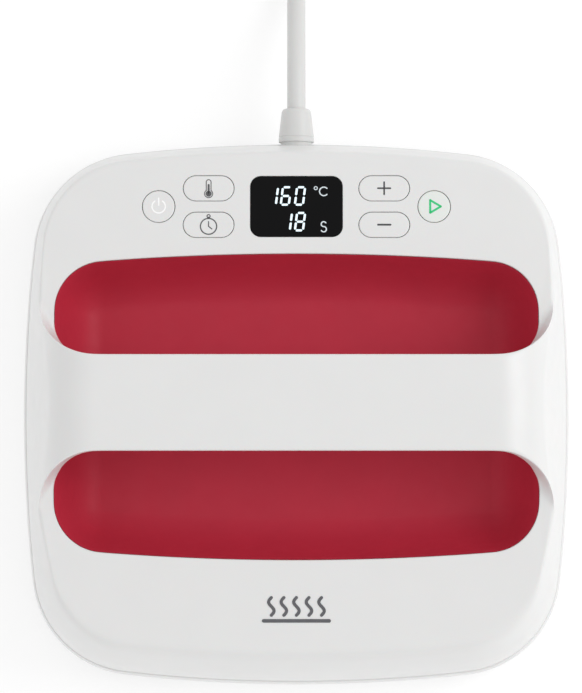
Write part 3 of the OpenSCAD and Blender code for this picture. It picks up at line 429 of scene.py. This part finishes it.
def outline_pt(a, inset):
    """Point of the body's outline whose normal points at angle a, 0 to 90, moved in by inset."""
    if a <= SIDE_END:
        return -ARC_A + (SIDE_R - inset) * cos_d(a), (SIDE_R - inset) * sin_d(a)
    if a >= LONG_START:
        return (SIDE_R - inset) * cos_d(a), -ARC_B + (SIDE_R - inset) * sin_d(a)
    return CORNER_X + (CORNER_R - inset) * cos_d(a), CORNER_Y + (CORNER_R - inset) * sin_d(a)


def around(quarter):
    """A quarter's points, from the +X axis to the +Y axis, as a whole loop."""
    n = len(quarter) - 1
    return (
        quarter
        + [(-quarter[i][0], quarter[i][1]) for i in range(n - 1, -1, -1)]
        + [(-quarter[i][0], -quarter[i][1]) for i in range(1, n + 1)]
        + [(quarter[i][0], -quarter[i][1]) for i in range(n - 1, 0, -1)]
    )


def angles(side_n, corner_n, long_n, start=0.0):
    return (
        [mix(start, SIDE_END, i / side_n) for i in range(side_n)]
        + [mix(SIDE_END, LONG_START, i / corner_n) for i in range(corner_n + 1)]
        + [mix(LONG_START, 90.0, i / long_n) for i in range(1, long_n + 1)]
    )


def deck_slope(side):
    return REAR_SLOPE if side > 0 else FRONT_SLOPE


def deck_at(side, y):
    return DECK_Z - math.tan(math.radians(deck_slope(side))) * (abs(y) - WELL_Y)


def crest_inset(side, a):
    """How far the wall leans in by its top, from the flare over the corner to the deck's middle."""
    corner, middle = CREST_INSETS[side]
    if a < SIDE_END:
        return mix(CREST_FLARE, corner, (a - FLARE_A) / (SIDE_END - FLARE_A))
    return mix(corner, middle, (a - SIDE_END) / (90 - SIDE_END))


def crest_z(side, y):
    return deck_at(side, y) + FLARE_LIFT * (1 - smooth01((abs(y) - FLARE_Y) / FLARE_FADE))


def fin_drop(t, y):
    """Keeps the inner surface clear of the thin edge beside the flare."""
    return FIN_DROP * (1 - smooth01((abs(y) - FLARE_Y) / FIN_FADE)) if t > 0 else 0.0


FOOT_Z = PARTING_Z + PARTING_GAP
HANDLE_N, FLARE_N, SIDE_N, CORNER_N, LONG_N = 8, 10, 6, 14, 8
FLARE_TURN = 90.0 / FLARE_N
CREST_A = angles(SIDE_N, CORNER_N, LONG_N, FLARE_A)
ARCH_STATION = HANDLE_N + 5  # the point of the deck's inner edge where the arch meets it
ARCH_FADE = (1.3, 0.6, 0.2)  # how much the next points stand up


def wall_pt(side, a, v, t):
    """Point of the side wall, v = 0 at its foot and 1 at its top, moved in by t."""
    inset = mix(FOOT_INSET, crest_inset(side, a), v**WALL_BEND) + t
    crest_y = outline_pt(a, crest_inset(side, a) + t)[1]
    x, y = outline_pt(a, inset)
    return x, side * y, mix(FOOT_Z, crest_z(side, crest_y) - t - fin_drop(t, crest_y), v)


def crest_half(side, t):
    """The shell's upper edge from the handle's middle to the middle of the deck's far edge."""
    high = TOP_Z - EDGE_DROP - t
    out = [(HANDLE_FLAT * i / HANDLE_N, side * (HANDLE_HALF - t), high) for i in range(HANDLE_N + 1)]
    x1, y1, z1 = wall_pt(side, FLARE_A, 1, t)
    for i in range(1, FLARE_N):
        a = FLARE_TURN * i
        out.append((
            mix(HANDLE_FLAT, x1, sin_d(a)),
            side * mix(HANDLE_HALF - t, abs(y1), 1 - cos_d(a)),
            mix(z1, high, cos_d(a) ** FLARE_FALL),
        ))
    return out + [wall_pt(side, a, 1, t) for a in CREST_A]


WELL_CX = WELL_X - WELL_R
WELL_CY = WELL_Y - WELL_ARCH + math.sqrt((WELL_ARCH - WELL_R) ** 2 - WELL_CX**2)
WELL_TURN = math.degrees(math.atan2(WELL_CY - WELL_Y + WELL_ARCH, WELL_CX))


def well_pt(a, inset):
    if a <= WELL_TURN:
        return WELL_CX + (WELL_R - inset) * cos_d(a), WELL_CY + (WELL_R - inset) * sin_d(a)
    return (WELL_ARCH - inset) * cos_d(a), WELL_Y - WELL_ARCH + (WELL_ARCH - inset) * sin_d(a)


def arch_z(x, t):
    """Height of the passage under the handle, which arches down at its ends."""
    if x <= ARCH_X:
        return UNDER_Z + t
    return UNDER_Z - ARCH_R + math.sqrt(max(0.0, (ARCH_R + t) ** 2 - (x - ARCH_X) ** 2))


def mouth_half(side, t, grow):
    """The deck's inner edge, point for point beside the upper edge."""
    flat = [(HANDLE_FLAT * i / HANDLE_N, HANDLE_LOW - grow) for i in range(HANDLE_N + 1)]
    for i in range(1, FLARE_N):
        a = FLARE_TURN * i
        flat.append((
            HANDLE_FLAT + (WELL_X - HANDLE_FLAT + grow) * sin_d(a),
            MOUTH_Y - (MOUTH_Y - HANDLE_LOW + grow) * cos_d(a),
        ))
    flat += [(WELL_X + grow, mix(MOUTH_Y, WELL_CY, i / SIDE_N)) for i in range(SIDE_N)]
    flat += [well_pt(WELL_TURN * i / CORNER_N, -grow) for i in range(CORNER_N + 1)]
    flat += [well_pt(mix(WELL_TURN, 90, i / LONG_N), -grow) for i in range(1, LONG_N + 1)]
    out = []
    for k, (x, y) in enumerate(flat):
        z = deck_at(side, y) - t
        if k <= ARCH_STATION:
            z = max(z, arch_z(x, t)) if k > HANDLE_N else UNDER_Z + t
        elif k <= ARCH_STATION + len(ARCH_FADE):
            z += ARCH_FADE[k - ARCH_STATION - 1]
        out.append((x, side * y, z))
    return out


def edge_round(side, a):
    """How far the rounding of the upper edge reaches along the wall and the deck."""
    return mix(EDGE_ROUND, FAR_EDGE_ROUND[side], smooth01((a - FLARE_A) / EDGE_FADE))


ACROSS = [1.0, 0.89, 0.65, 0.33, 0.0, -0.33, -0.65, -0.89, -1.0]
ACROSS_UNDER = [1.0, 0.94, 0.75, 0.5, 0.25, 0.06, 0.0]
LOW_ROWS = [0.82, 0.62, 0.42, 0.24, 0.1]


def wall_levels(side, a, t):
    """The wall's rows from top to foot, close together at both ends."""
    height = wall_pt(side, a, 1, t)[2] - FOOT_Z
    first = 1 - edge_round(side, a) / height
    return [1.0, first] + [first * f for f in LOW_ROWS] + [1.0 / height, 0.0]


def handle_mid(t, levels):
    """The line along the handle's middle, down its end to the foot."""
    out = [(HANDLE_FLAT * i / HANDLE_N, TOP_Z - t) for i in range(HANDLE_N + 1)]
    for i in range(1, FLARE_N + 1):
        a = ROLL_A * i / FLARE_N
        out.append((HANDLE_FLAT + (ROLL_R - t) * sin_d(a), TOP_Z - t - (ROLL_R - t) * (1 - cos_d(a))))
    roll_z = TOP_Z - t - (ROLL_R - t) * (1 - cos_d(ROLL_A))
    for v in levels[1:]:
        out.append((
            mix(BODY_W / 2 - FOOT_INSET, HANDLE_FLAT + ROLL_R * sin_d(ROLL_A), v**SIDE_BEND) - t,
            mix(FOOT_Z, roll_z, v),
        ))
    return out


def shell_half(cage, t):
    """Adds the x >= 0 half and its mirror image of the shell's surface moved in by t.
    Returns the open edges: the foot and the lip of the well's opening, each as a list of strips."""
    grow = MOUTH_GROW * t
    mid = handle_mid(t, wall_levels(1, FLARE_A, t))
    crest = {s: crest_half(s, t) for s in (1, -1)}
    mouth = {s: mouth_half(s, t, grow) for s in (1, -1)}
    edges = {
        s: crest[s][: HANDLE_N + FLARE_N + 1]
        + [wall_pt(s, FLARE_A, v, t) for v in wall_levels(s, FLARE_A, t)[1:]]
        for s in (1, -1)
    }
    saddle = []
    for (mx, mz), rear, front in zip(mid, edges[1], edges[-1]):
        row = []
        for w in ACROSS:
            e = rear if w >= 0 else front
            row.append((mix(mx, e[0], w * w), abs(w) * e[1], mix(mz, e[2], w * w)))
        saddle.append(row)
    cage.both(saddle)
    feet, lips = [saddle[-1]], []
    for s in (1, -1):
        walls = [[wall_pt(s, a, v, t) for v in wall_levels(s, a, t)] for a in CREST_A]
        cage.both(walls)
        feet.append([w[-1] for w in walls])
        deck = []
        for k, (p, m) in enumerate(zip(crest[s], mouth[s])):
            reach = math.dist(p, m)
            a = CREST_A[max(0, k - HANDLE_N - FLARE_N)]
            d1 = min(edge_round(s, a) if k >= HANDLE_N + FLARE_N else HANDLE_ROUND, 0.35 * reach)
            d2 = reach - min(LIP_ROUND, 0.25 * reach)
            deck.append([
                tuple(mix(p[c], m[c], d / reach) for c in range(3))
                for d in (0.0, d1, mix(d1, d2, 0.33), mix(d1, d2, 0.67), d2, reach)
            ])
        cage.both(deck)
        lip = []
        for k in range(ARCH_STATION, len(mouth[s])):
            x, y, z = mouth[s][k]
            if k == ARCH_STATION:
                lip.append([(x, y, z)] + [(end_x, y, end_z) for end_x, end_z in arch_down(t)])
            else:
                end = deck_at(s, y) - LIP_DEEP
                lip.append([(x, y, z), (x, y, mix(z, end, 0.35)), (x, y, end)])
        cage.both(lip)
        lips.append([row[-1] for row in lip])
    under = []
    for k in range(ARCH_STATION + 1):
        a, b = mouth[1][k], mouth[-1][k]
        under.append([(a[0], mix(b[1], a[1], f), mix(b[2], a[2], f)) for f in ACROSS_UNDER])
    columns = [p[1] for p in under[-1]]
    for end_x, end_z in arch_down(t):
        under.append([(end_x, y, end_z) for y in columns])
    cage.both(under)
    lips.append(under[-1])
    return feet, lips


def arch_down(t):
    """(x, z) of the arch's last two levels, where it runs down into the well."""
    return [(ARCH_X + (ARCH_R + t) * out, z) for out, z in ARCH_END]


def make_shell_cage():
    cage = Cage()
    outer, inner = shell_half(cage, 0.0), shell_half(cage, SHELL_T)
    for outs, ins in zip(outer, inner):
        for a, b in zip(outs, ins):
            cage.both([a, b])
    return cage


# ---------------------------------------------------------------- places on the decks


def on_panel(x, y, z):
    s = REAR_SLOPE
    return x, PANEL_Y + y * cos_d(s) + z * sin_d(s), deck_at(1, PANEL_Y) - y * sin_d(s) + z * cos_d(s)


def on_front(x, y, z):
    s = FRONT_SLOPE
    return x, -EMBLEM_Y + y * cos_d(s) - z * sin_d(s), deck_at(-1, EMBLEM_Y) + y * sin_d(s) + z * cos_d(s)


def at(place, x0=0.0, y0=0.0):
    """A function that puts a point of a flat drawing on a deck, moved by x0 and y0."""
    return lambda p: place(p[0] + x0, p[1] + y0, p[2])


def circle(r, n=64, x=0.0, y=0.0):
    return [(x + r * cos_d(360 * i / n), y + r * sin_d(360 * i / n)) for i in range(n)]


def pill_outline(length, width, n=26):
    r, half = width / 2, (length - width) / 2
    right = [(half + r * cos_d(-90 + 180 * i / n), r * sin_d(-90 + 180 * i / n)) for i in range(n + 1)]
    left = [(-half + r * cos_d(90 + 180 * i / n), r * sin_d(90 + 180 * i / n)) for i in range(n + 1)]
    return right + left


def round_rect(half_x, half_y, r, n=8):
    out = []
    for q, (sx, sy) in enumerate(((1, 1), (-1, 1), (-1, -1), (1, -1))):
        for i in range(n + 1):
            a = 90 * q + 90 * i / n
            out.append((sx * (half_x - r) + r * cos_d(a), sy * (half_y - r) + r * sin_d(a)))
    return out


BUTTONS = {
    "power": (-ROUND_X, 0.0), "start": (ROUND_X, 0.0),
    "temperature": (-PILL_X, PILL_PITCH / 2), "timer": (-PILL_X, -PILL_PITCH / 2),
    "plus": (PILL_X, PILL_PITCH / 2), "minus": (PILL_X, -PILL_PITCH / 2),
}


def button_outline(name, grow):
    if name in ("power", "start"):
        return circle(ROUND_D / 2 + grow, 72)
    return pill_outline(PILL_L + 2 * grow, PILL_W + 2 * grow)


def lens_outline(grow):
    return round_rect(LENS_W / 2 + grow, LENS_D / 2 + grow, LENS_R + grow, 12)


def flared_hole(outline, place, clearance):
    """A cutter whose mouth flares a little, so that the opening's edge is eased."""
    cage = Cage()
    steps = [(-HOLE_DEEP, 0.0), (-0.35, 0.0), (-0.12, 0.06), (0.013, 0.2), (0.27, 0.5)]
    cage.rings([[(x, y, z) for x, y in outline(clearance + flare)] for z, flare in steps])
    return build("cutter", cage, None, body=None, place=place)


def panel_cutters():
    out = [flared_hole(lens_outline, at(on_panel), LENS_GAP)]
    for name, spot in BUTTONS.items():
        out.append(flared_hole(lambda g, n=name: button_outline(n, g), at(on_panel, *spot), GAP))
    return out


build("upper_shell", make_shell_cage(), SLOTS["white_shell"], subdivide=2,
      cutters=panel_cutters(), angle=40, replaces=["top_housing"])

# ---------------------------------------------------------------- base ring


def screw_holes(spots, steps):
    """A cutter of round holes, each through the steps of (height, radius)."""
    holes = Cage()
    for x, y in spots:
        holes.rings([[(px, py, z) for px, py in circle(r, 32, x, y)] for z, r in steps])
    return build("cutter", holes, None, body=None)


def make_base_ring():
    a_list = angles(8, 22, 8)

    def ring(inset, z):
        return [(x, y, z) for x, y in around([outline_pt(a, inset) for a in a_list])]

    def opening(z):
        quarter, straight = [], BASE_OPEN - BASE_OPEN_R
        for a in a_list:
            if a <= SIDE_END:
                quarter.append((BASE_OPEN, straight * a / SIDE_END))
            elif a >= LONG_START:
                quarter.append((straight * (90 - a) / (90 - LONG_START), BASE_OPEN))
            else:
                f = 90 * (a - SIDE_END) / (LONG_START - SIDE_END)
                quarter.append((straight + BASE_OPEN_R * cos_d(f), straight + BASE_OPEN_R * sin_d(f)))
        return [(x, y, z) for x, y in around(quarter)]

    low, top = RING_Z, PARTING_Z
    profile = [(4.4, low), (3.3, low + 0.1), (2.6, low + 0.7), (1.2, low + 2.8), (0.55, low + 4.6),
               (0.05, low + 8), (0.0, low + 10), (0.08, low + 13), (0.3, top - 4), (0.6, top - 1.6),
               (0.85, top - 0.5), (1.15, top - 0.1), (1.6, top), (3.2, top), (3.2, top - 1),
               (3.0, low + 3.5), (3.0, low + 2.5)]
    rings = [opening(low + 0.05)] + [ring(i, z) for i, z in profile] + [opening(low + 2.5)]
    cage = Cage()
    cage.rings(rings, loop=True)
    spots = [(sx * BASE_SCREW_X, sy * BASE_SCREW_ALONG) for sx in (1, -1) for sy in (1, -1)]
    spots += [(sx * BASE_SCREW_ALONG, sy * BASE_SCREW_Y) for sx in (1, -1) for sy in (1, -1)]
    steps = [(0.0, HEAD_R + 0.3), (low - 0.01, HEAD_R + 0.3), (low + 0.3, HEAD_R), (low + 1, HEAD_R),
             (low + 1.01, THREAD_R), (low + 6, THREAD_R)]
    build("base_shell", cage, SLOTS["white_shell"],
          cutters=[screw_holes(spots, steps)], angle=40, replaces=["base_ring"])


make_base_ring()

# ---------------------------------------------------------------- grip well and handle grip


def well_loop(inset):
    """The outline of the well's opening, moved in by inset."""
    quarter = [(WELL_X - inset, WELL_CY * i / 6) for i in range(6)]
    quarter += [well_pt(WELL_TURN * i / 18, inset) for i in range(19)]
    quarter += [well_pt(mix(WELL_TURN, 90, i / 12), inset) for i in range(1, 13)]
    return around(quarter)


def make_grip_well():
    def ring(inset, z):
        return [(x, y, z) for x, y in well_loop(inset)]

    def rim_z(y, below):
        return min(WELL_RIM, deck_at(1 if y >= 0 else -1, y)) - below

    def rim(inset, below):
        return [(x, y, rim_z(y, below)) for x, y in well_loop(WELL_GAP + inset)]

    rings = []
    for i in range(12, -1, -1):
        a = 90 * i / 12
        rings.append(ring(WELL_LEAN + WELL_GAP + WELL_FILLET * (1 - cos_d(a)),
                          WELL_FLOOR - SHELL_T + WELL_FILLET * (1 - sin_d(a))))
    rings += [ring(WELL_GAP + 0.1, WELL_WAIST), rim(0, 4.0), rim(0, 1.3), rim(0.06, 1.04), rim(0.16, 0.95)]
    for i in range(27):
        a = 90 * i / 26
        inset = WELL_GAP + 0.26 + WELL_REACH * mix(1 - cos_d(a), a / 90, WELL_SLANT)
        rings.append([(x, y, mix(rim_z(y, 1.05), WELL_FLOOR, sin_d(a))) for x, y in well_loop(inset)])
    cage = Cage()
    cage.rings(rings)
    build("grip_well_tub", cage, SLOTS["raspberry_shell"], angle=50,
          replaces=["grip_well"])


def make_handle_grip():
    rings, top = [], UNDER_Z
    for inset, z in ((2.9, top - 3), (1.7, top - 2.88), (0.8, top - 2.5), (0.2, top - 1.8), (0.0, top - 1),
                     (0.0, top - 0.04), (2.9, top)):
        outline = round_rect(GRIP_HALF_L - inset, GRIP_HALF_W - inset, GRIP_R - inset * 0.5, 8)
        rings.append([(x, y, z) for x, y in outline])
    cage = Cage()
    cage.rings(rings)
    steps = [(top - 4, HEAD_R + 0.6), (top - 3.01, HEAD_R + 0.6), (top - 2.7, HEAD_R + 0.2),
             (top - 1.4, HEAD_R + 0.2), (top - 1.39, THREAD_R), (top + 1, THREAD_R)]
    build("handle_underside", cage, SLOTS["raspberry_shell"],
          cutters=[screw_holes([(x, 0) for x in GRIP_SCREWS], steps)], angle=40, replaces=["handle_grip"])


make_grip_well()
make_handle_grip()

# ---------------------------------------------------------------- buttons, display and symbols

BUTTON_TOP = -0.06


def make_button(name):
    low = -WALL - KEY_CLEAR - KEY_FLANGE
    steps = [(low, KEY_FLANGE), (low + KEY_FLANGE, KEY_FLANGE), (low + KEY_FLANGE, 0.0),
             (BUTTON_TOP - 0.45, 0.0), (BUTTON_TOP - 0.16, -0.08), (BUTTON_TOP - 0.04, -0.25),
             (BUTTON_TOP, -0.5), (BUTTON_TOP, -1.6)]
    cage = Cage()
    cage.rings([[(x, y, z) for x, y in button_outline(name, g)] for z, g in steps])
    stem = [(KEY_STEM_LOW, KEY_STEM_R - 0.2), (KEY_STEM_LOW + 0.2, KEY_STEM_R), (low + 0.3, KEY_STEM_R)]
    cage.rings([[(x, y, z) for x, y in circle(r, 32)] for z, r in stem])
    # The start cap gets the white material with a painted green glow from its lit mark.
    slot = "button_green" if name == "start" else "button_white"
    build(name + "_key_cap", cage, SLOTS[slot], body=name + "_key",
          place=at(on_panel, *BUTTONS[name]), angle=30, replaces=[name + "_button"])


for key in BUTTONS:
    make_button(key)


def stroke(points, half, caps=6):
    """Outline of a line of that half width through the points, with round ends."""
    normals = []
    last = len(points) - 1
    for i in range(last + 1):
        (x0, y0), (x1, y1) = points[max(0, i - 1)], points[min(last, i + 1)]
        d = math.hypot(x1 - x0, y1 - y0)
        normals.append((-(y1 - y0) / d, (x1 - x0) / d))
    left = [(p[0] + half * n[0], p[1] + half * n[1]) for p, n in zip(points, normals)]
    right = [(p[0] - half * n[0], p[1] - half * n[1]) for p, n in zip(points, normals)]

    def cap(p, n, way):
        start = math.atan2(way * n[1], way * n[0])
        turns = [start - math.pi * i / caps for i in range(1, caps)]
        return [(p[0] + half * math.cos(turn), p[1] + half * math.sin(turn)) for turn in turns]

    return left + cap(points[-1], normals[-1], 1) + right[::-1] + cap(points[0], normals[0], -1)


def arc(r, a0, a1, n=32, x=0.0, y=0.0):
    return [(x + r * cos_d(mix(a0, a1, i / n)), y + r * sin_d(mix(a0, a1, i / n))) for i in range(n + 1)]


def annulus(cage, r, half, z0, z1, x=0.0, y=0.0, n=48):
    loops = [(r - half, z0), (r + half, z0), (r + half, z1), (r - half, z1)]
    cage.rings([[(px, py, z) for px, py in circle(rr, n, x, y)] for rr, z in loops], loop=True)


INK_LOW, INK_HIGH = BUTTON_TOP - 0.12, BUTTON_TOP + 0.05


def symbol(name, key, mat, outlines, rings=()):
    cage = Cage()
    for o in outlines:
        cage.prism(o, INK_LOW, INK_HIGH)
    for r, half, x, y in rings:
        annulus(cage, r, half, INK_LOW, INK_HIGH, x, y)
    build(name, cage, mat, body=key + "_key", place=at(on_panel, *BUTTONS[key]), angle=30)


symbol("plus_symbol", "plus", INK_DARK,
       [stroke([(-3.0, 0), (3.0, 0)], 0.4), stroke([(0, -3.0), (0, -0.45)], 0.4),
        stroke([(0, 0.45), (0, 3.0)], 0.4)])
symbol("minus_symbol", "minus", INK_DARK, [stroke([(-3.0, 0), (3.0, 0)], 0.45)])
symbol("power_symbol", "power", INK_WHITE,
       [stroke(arc(3.2, 125, 415, 40), 0.33), stroke([(0, 0.6), (0, 4.1)], 0.33)])
STEM, BULB, BULB_Y = 1.15, 1.95, -2.7
NECK = math.degrees(math.asin(STEM / BULB))
symbol("thermometer_symbol", "temperature", INK_GREY,
       [stroke(arc(BULB, 90 + NECK, 450 - NECK, 30, 0, BULB_Y), 0.22),
        stroke([(-STEM, BULB_Y + BULB * cos_d(NECK)), (-STEM, 3.0)] + arc(STEM, 180, 0, 14, 0, 3.05)
               + [(STEM, 3.0), (STEM, BULB_Y + BULB * cos_d(NECK))], 0.22),
        stroke([(0, BULB_Y), (0, 1.6)], 0.5), circle(1.45, 32, 0, BULB_Y)])
symbol("stopwatch_symbol", "timer", INK_GREY,
       [stroke([(0, -0.8), (0, 1.5)], 0.26), stroke([(0, -0.8), (1.6, -2.1)], 0.26),
        stroke([(0, 3.2), (0, 3.7)], 0.3)],
       rings=[(3.9, 0.3, 0.0, -0.8), (0.75, 0.24, 0.0, 4.2)])
symbol("start_symbol", "start", INK_GREEN,
       [stroke([(-1.9, -3.1), (-1.9, 3.1)], 0.5), stroke([(-1.9, 3.1), (3.2, 0)], 0.5),
        stroke([(-1.9, -3.1), (3.2, 0)], 0.5)])


def make_lens():
    steps = [(-LENS_T, 0.0), (-0.25, 0.0), (-0.08, -0.08), (0.0, -0.3), (0.0, -2.0)]
    cage = Cage()
    cage.rings([[(x, y, z) for x, y in lens_outline(g)] for z, g in steps])
    build("display_glass", cage, SLOTS["display_black"], place=at(on_panel),
          angle=30, replaces=["display_lens"])


make_lens()

SEGMENTS = {"0": "abcdef", "1": "bc", "6": "acdefg", "8": "abcdefg"}
DIGIT_W, DIGIT_H, SLANT, BAR, SEAM = 4.9, 9.6, 0.12, 0.52, 0.16
READINGS = (("160", (-14.3, -8.1, -1.3), 0.35), ("18", (-7.6, -1.3), -12.3))


def segment(x0, y0, x1, y1):
    """A six-sided bar between two points, along x or along y."""
    if y0 == y1:
        a, b = x0 + BAR + SEAM, x1 - BAR - SEAM
        return [(x0 + SEAM * 2, y0), (a, y0 + BAR), (b, y0 + BAR), (x1 - SEAM * 2, y0), (b, y0 - BAR),
                (a, y0 - BAR)]
    a, b = y0 + BAR + SEAM, y1 - BAR - SEAM
    return [(x0, y0 + SEAM * 2), (x0 + BAR, a), (x0 + BAR, b), (x0, y1 - SEAM * 2), (x0 - BAR, b),
            (x0 - BAR, a)]


def digit(glyph, left, low):
    """The bars of one figure, slanted, with its lower left corner at left and low."""
    x0, x1, y0, y1, y2 = BAR, DIGIT_W - BAR, BAR, DIGIT_H / 2, DIGIT_H - BAR
    parts = {"a": (x0, y2, x1, y2), "b": (x1, y1, x1, y2), "c": (x1, y0, x1, y1), "d": (x0, y0, x1, y0),
             "e": (x0, y0, x0, y1), "f": (x0, y1, x0, y2), "g": (x0, y1, x1, y1)}
    out = []
    for name in SEGMENTS[glyph]:
        out.append([(left + x + SLANT * y, low + y) for x, y in segment(*parts[name])])
    return out


def make_digits():
    cage = Cage()
    for text, lefts, low in READINGS:
        for glyph, left in zip(text, lefts):
            for outline in digit(glyph, left, low):
                cage.prism(outline, PRINT_LOW, PRINT_HIGH)
    build("display_digits", cage, DIGIT, place=at(on_panel), angle=30)
    units = Cage()
    annulus(units, 0.75, 0.2, PRINT_LOW, PRINT_HIGH, 9.3, 9.0, 24)
    units.prism(stroke(arc(2.1, 45, 315, 28, 13.2, 7.4), 0.27), PRINT_LOW, PRINT_HIGH)
    curl = arc(1.2, 30, 270, 16, 13.1, -8.7) + arc(1.3, 90, -150, 16, 13.1, -11.2)[1:]
    units.prism(stroke(curl, 0.27), PRINT_LOW, PRINT_HIGH)
    build("display_units", units, UNIT, place=at(on_panel), angle=30)


make_digits()


def make_emblem():
    """Five wavy lines over a bar, a generic sign for heat."""
    cage, high = Cage(), 0.2
    for x in range(-12, 13, 6):
        line = [(x + 1.3 * sin_d(360 * i / 24), -2.5 + 8.5 * i / 24) for i in range(25)]
        cage.prism(stroke(line, 0.75), PRINT_LOW, high)
    cage.prism([(x, y - 5.2) for x, y in pill_outline(33, 1.7, 12)], PRINT_LOW, high)
    build("heat_emblem", cage, SLOTS["emblem_grey"], place=at(on_front),
          angle=30, replaces=["front_emblem"])


make_emblem()

# ---------------------------------------------------------------- cord furniture


def lathe(cage, profile, place, n=72):
    """Rings of (radius, distance along the axis), closed into a loop."""
    turns = [360 * i / n for i in range(n)]
    cage.rings([[place(r * cos_d(a), r * sin_d(a), d) for a in turns] for r, d in profile], loop=True)


def ease(profile, r=0.35, n=4):
    """Rounds the corners of an open profile."""
    out = [profile[0]]
    for a, b, c in zip(profile, profile[1:], profile[2:]):
        u, v = math.dist(a, b), math.dist(b, c)
        ru, rv = min(r, 0.45 * u), min(r, 0.45 * v)
        p = tuple(mix(b[k], a[k], ru / u) for k in (0, 1))
        q = tuple(mix(b[k], c[k], rv / v) for k in (0, 1))
        for i in range(n + 1):
            f = i / n
            out.append(tuple((1 - f) ** 2 * p[k] + 2 * f * (1 - f) * b[k] + f * f * q[k] for k in (0, 1)))
    return out + [profile[-1]]


def make_relief():
    profile = [(CORD_HOLE_R, RELIEF_START), (10.0, RELIEF_START), (10.0, 126.9), (7.5, 126.9), (7.5, 131.9),
               (8.62, 132.1), (8.62, 134.2), (8.38, 134.35), (8.38, 134.75), (8.56, 134.9), (7.2, 146.9),
               (6.6, 148.2), (5.3, RELIEF_END), (CORD_HOLE_R, RELIEF_END - 0.1)]
    cage = Cage()
    lathe(cage, ease(profile, 0.25), lambda u, v, d: (u, d, PARTING_Z + v))
    build("strain_relief_boot", cage, SLOTS["cord_sheath"], angle=40,
          replaces=["strain_relief"])


def make_plug():
    """The plug's shell along its axis, with four grooves where the cord goes in."""
    profile = [(CORD_HOLE_R, 7.8), (CORD_HOLE_R + 0.02, 0.0), (5.7, 0.2), (6.2, 1.2)]
    for i in range(4):
        d, wider = 3.0 + 3.6 * i, 0.28 * i
        profile += [(6.35 + wider, d), (5.75 + wider, d + 0.7), (5.8 + wider, d + 1.5),
                    (6.5 + wider, d + 2.2)]
    profile += [(7.4, 18.4), (8.8, 21), (12.5, 25.2), (16, 30), (17.9, 33.6), (18.4, 37), (18.4, 49.4),
                (17.4, 51.5), (16.2, 52), (4.0, 52), (4.0, 8.4)]
    x, y, z = PLUG_X / MM, PLUG_Y / MM, PLUG_Z / MM
    cage = Cage()
    lathe(cage, ease(profile, 0.6, 3), lambda u, v, d: (x - d, y + u, z + v), 96)
    return build("plug_shell", cage, SLOTS["cord_sheath"], angle=40,
                 replaces=["plug_body"])


def make_tie():
    """A strap laid round the bundle of turns, with its end tab."""
    half_x, half_z = (STRAP_OUT - STRAP_IN) / 2, (STRAP_HIGH - STRAP_LOW) / 2
    cx, cz = (STRAP_IN + STRAP_OUT) / 2, (STRAP_LOW + STRAP_HIGH) / 2
    loop_in = round_rect(half_x - 0.9, half_z, 3.2, 7)
    loop_out = round_rect(half_x, half_z + STRAP_T, 4.0, 7)
    across = [-STRAP_W / 2 + STRAP_W * i / 6 for i in range(7)]
    rows = [[(cx + x, y, cz + z) for x, z in loop_out] for y in across]
    rows += [[(cx + x, y, cz + z) for x, z in loop_in] for y in reversed(across)]
    cage = Cage()
    cage.rings(rows, loop=True)
    tab = round_rect(7.0, 0.4, 0.38, 4)
    cage.rings([[(cx - 6 + x, y, STRAP_HIGH + 0.95 + z * s) for x, z in tab]
                for y, s in ((-7.0, 0.6), (-6.6, 1.0), (6.6, 1.0), (7.0, 0.6))])

    def place(p):
        c, s = cos_d(STRAP_TURN), sin_d(STRAP_TURN)
        return COIL_X / MM + p[0] * c - p[1] * s, COIL_Y / MM + p[0] * s + p[1] * c, max(0.0, p[2])

    return build("cord_strap", cage, SLOTS["tie_strap"], place=place, angle=40,
                 replaces=["cord_tie"])


make_relief()
plug = make_plug()
tie = make_tie()

mains_cord.data.materials.append(SLOTS["cord_sheath"])
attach(mains_cord, BODY)
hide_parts("cord", "cord_coil", "cord_tail")

# ---------------------------------------------------------------- CAD nodes that stay

# Their split vertices are joined, so that their shading has no breaks.

for node in frame["nodes"].values():
    if not node.hide_render:
        node.modifiers.new("weld", "WELD").merge_threshold = 1e-6

# ---------------------------------------------------------------- floor, lights

floor_mat = material("floor", (0.5, 0.5, 0.5), 0.9, mottle=0.008, mottle_scale=3, bump=0.05, grain=300,
                     specular=0.1, glow=(1, 1, 1), glow_strength=0.56)
floor_mesh = bpy.data.meshes.new("floor")
corners = [(x * FLOOR_HALF, y * FLOOR_HALF, FLOOR_Z) for x, y in ((-1, -1), (1, -1), (1, 1), (-1, 1))]
floor_mesh.from_pydata(corners, [], [(0, 1, 2, 3)])
floor = link(bpy.data.objects.new("floor", floor_mesh))
floor_mesh.materials.append(floor_mat)

LIT_POINT = Vector((0, 0, 0.05))


def area_light(name, location, size, power):
    data = bpy.data.lights.new(name, "AREA")
    data.shape, data.size, data.energy = "SQUARE", size, power
    light = link(bpy.data.objects.new(name, data))
    light.location = location
    light.rotation_euler = (LIT_POINT - Vector(location)).to_track_quat("-Z", "Y").to_euler()


area_light("key", (1.8, 0.45, 1.65), size=1.4, power=17)
area_light("front", (-0.5, -1.7, 1.9), size=1.8, power=2.5)

world = bpy.data.worlds.new("studio")
world.use_nodes = True
world.node_tree.nodes["Background"].inputs["Color"].default_value = (1, 1, 1, 1)
world.node_tree.nodes["Background"].inputs["Strength"].default_value = 0.78
bpy.context.scene.world = world
bpy.context.scene.view_settings.view_transform = "Standard"
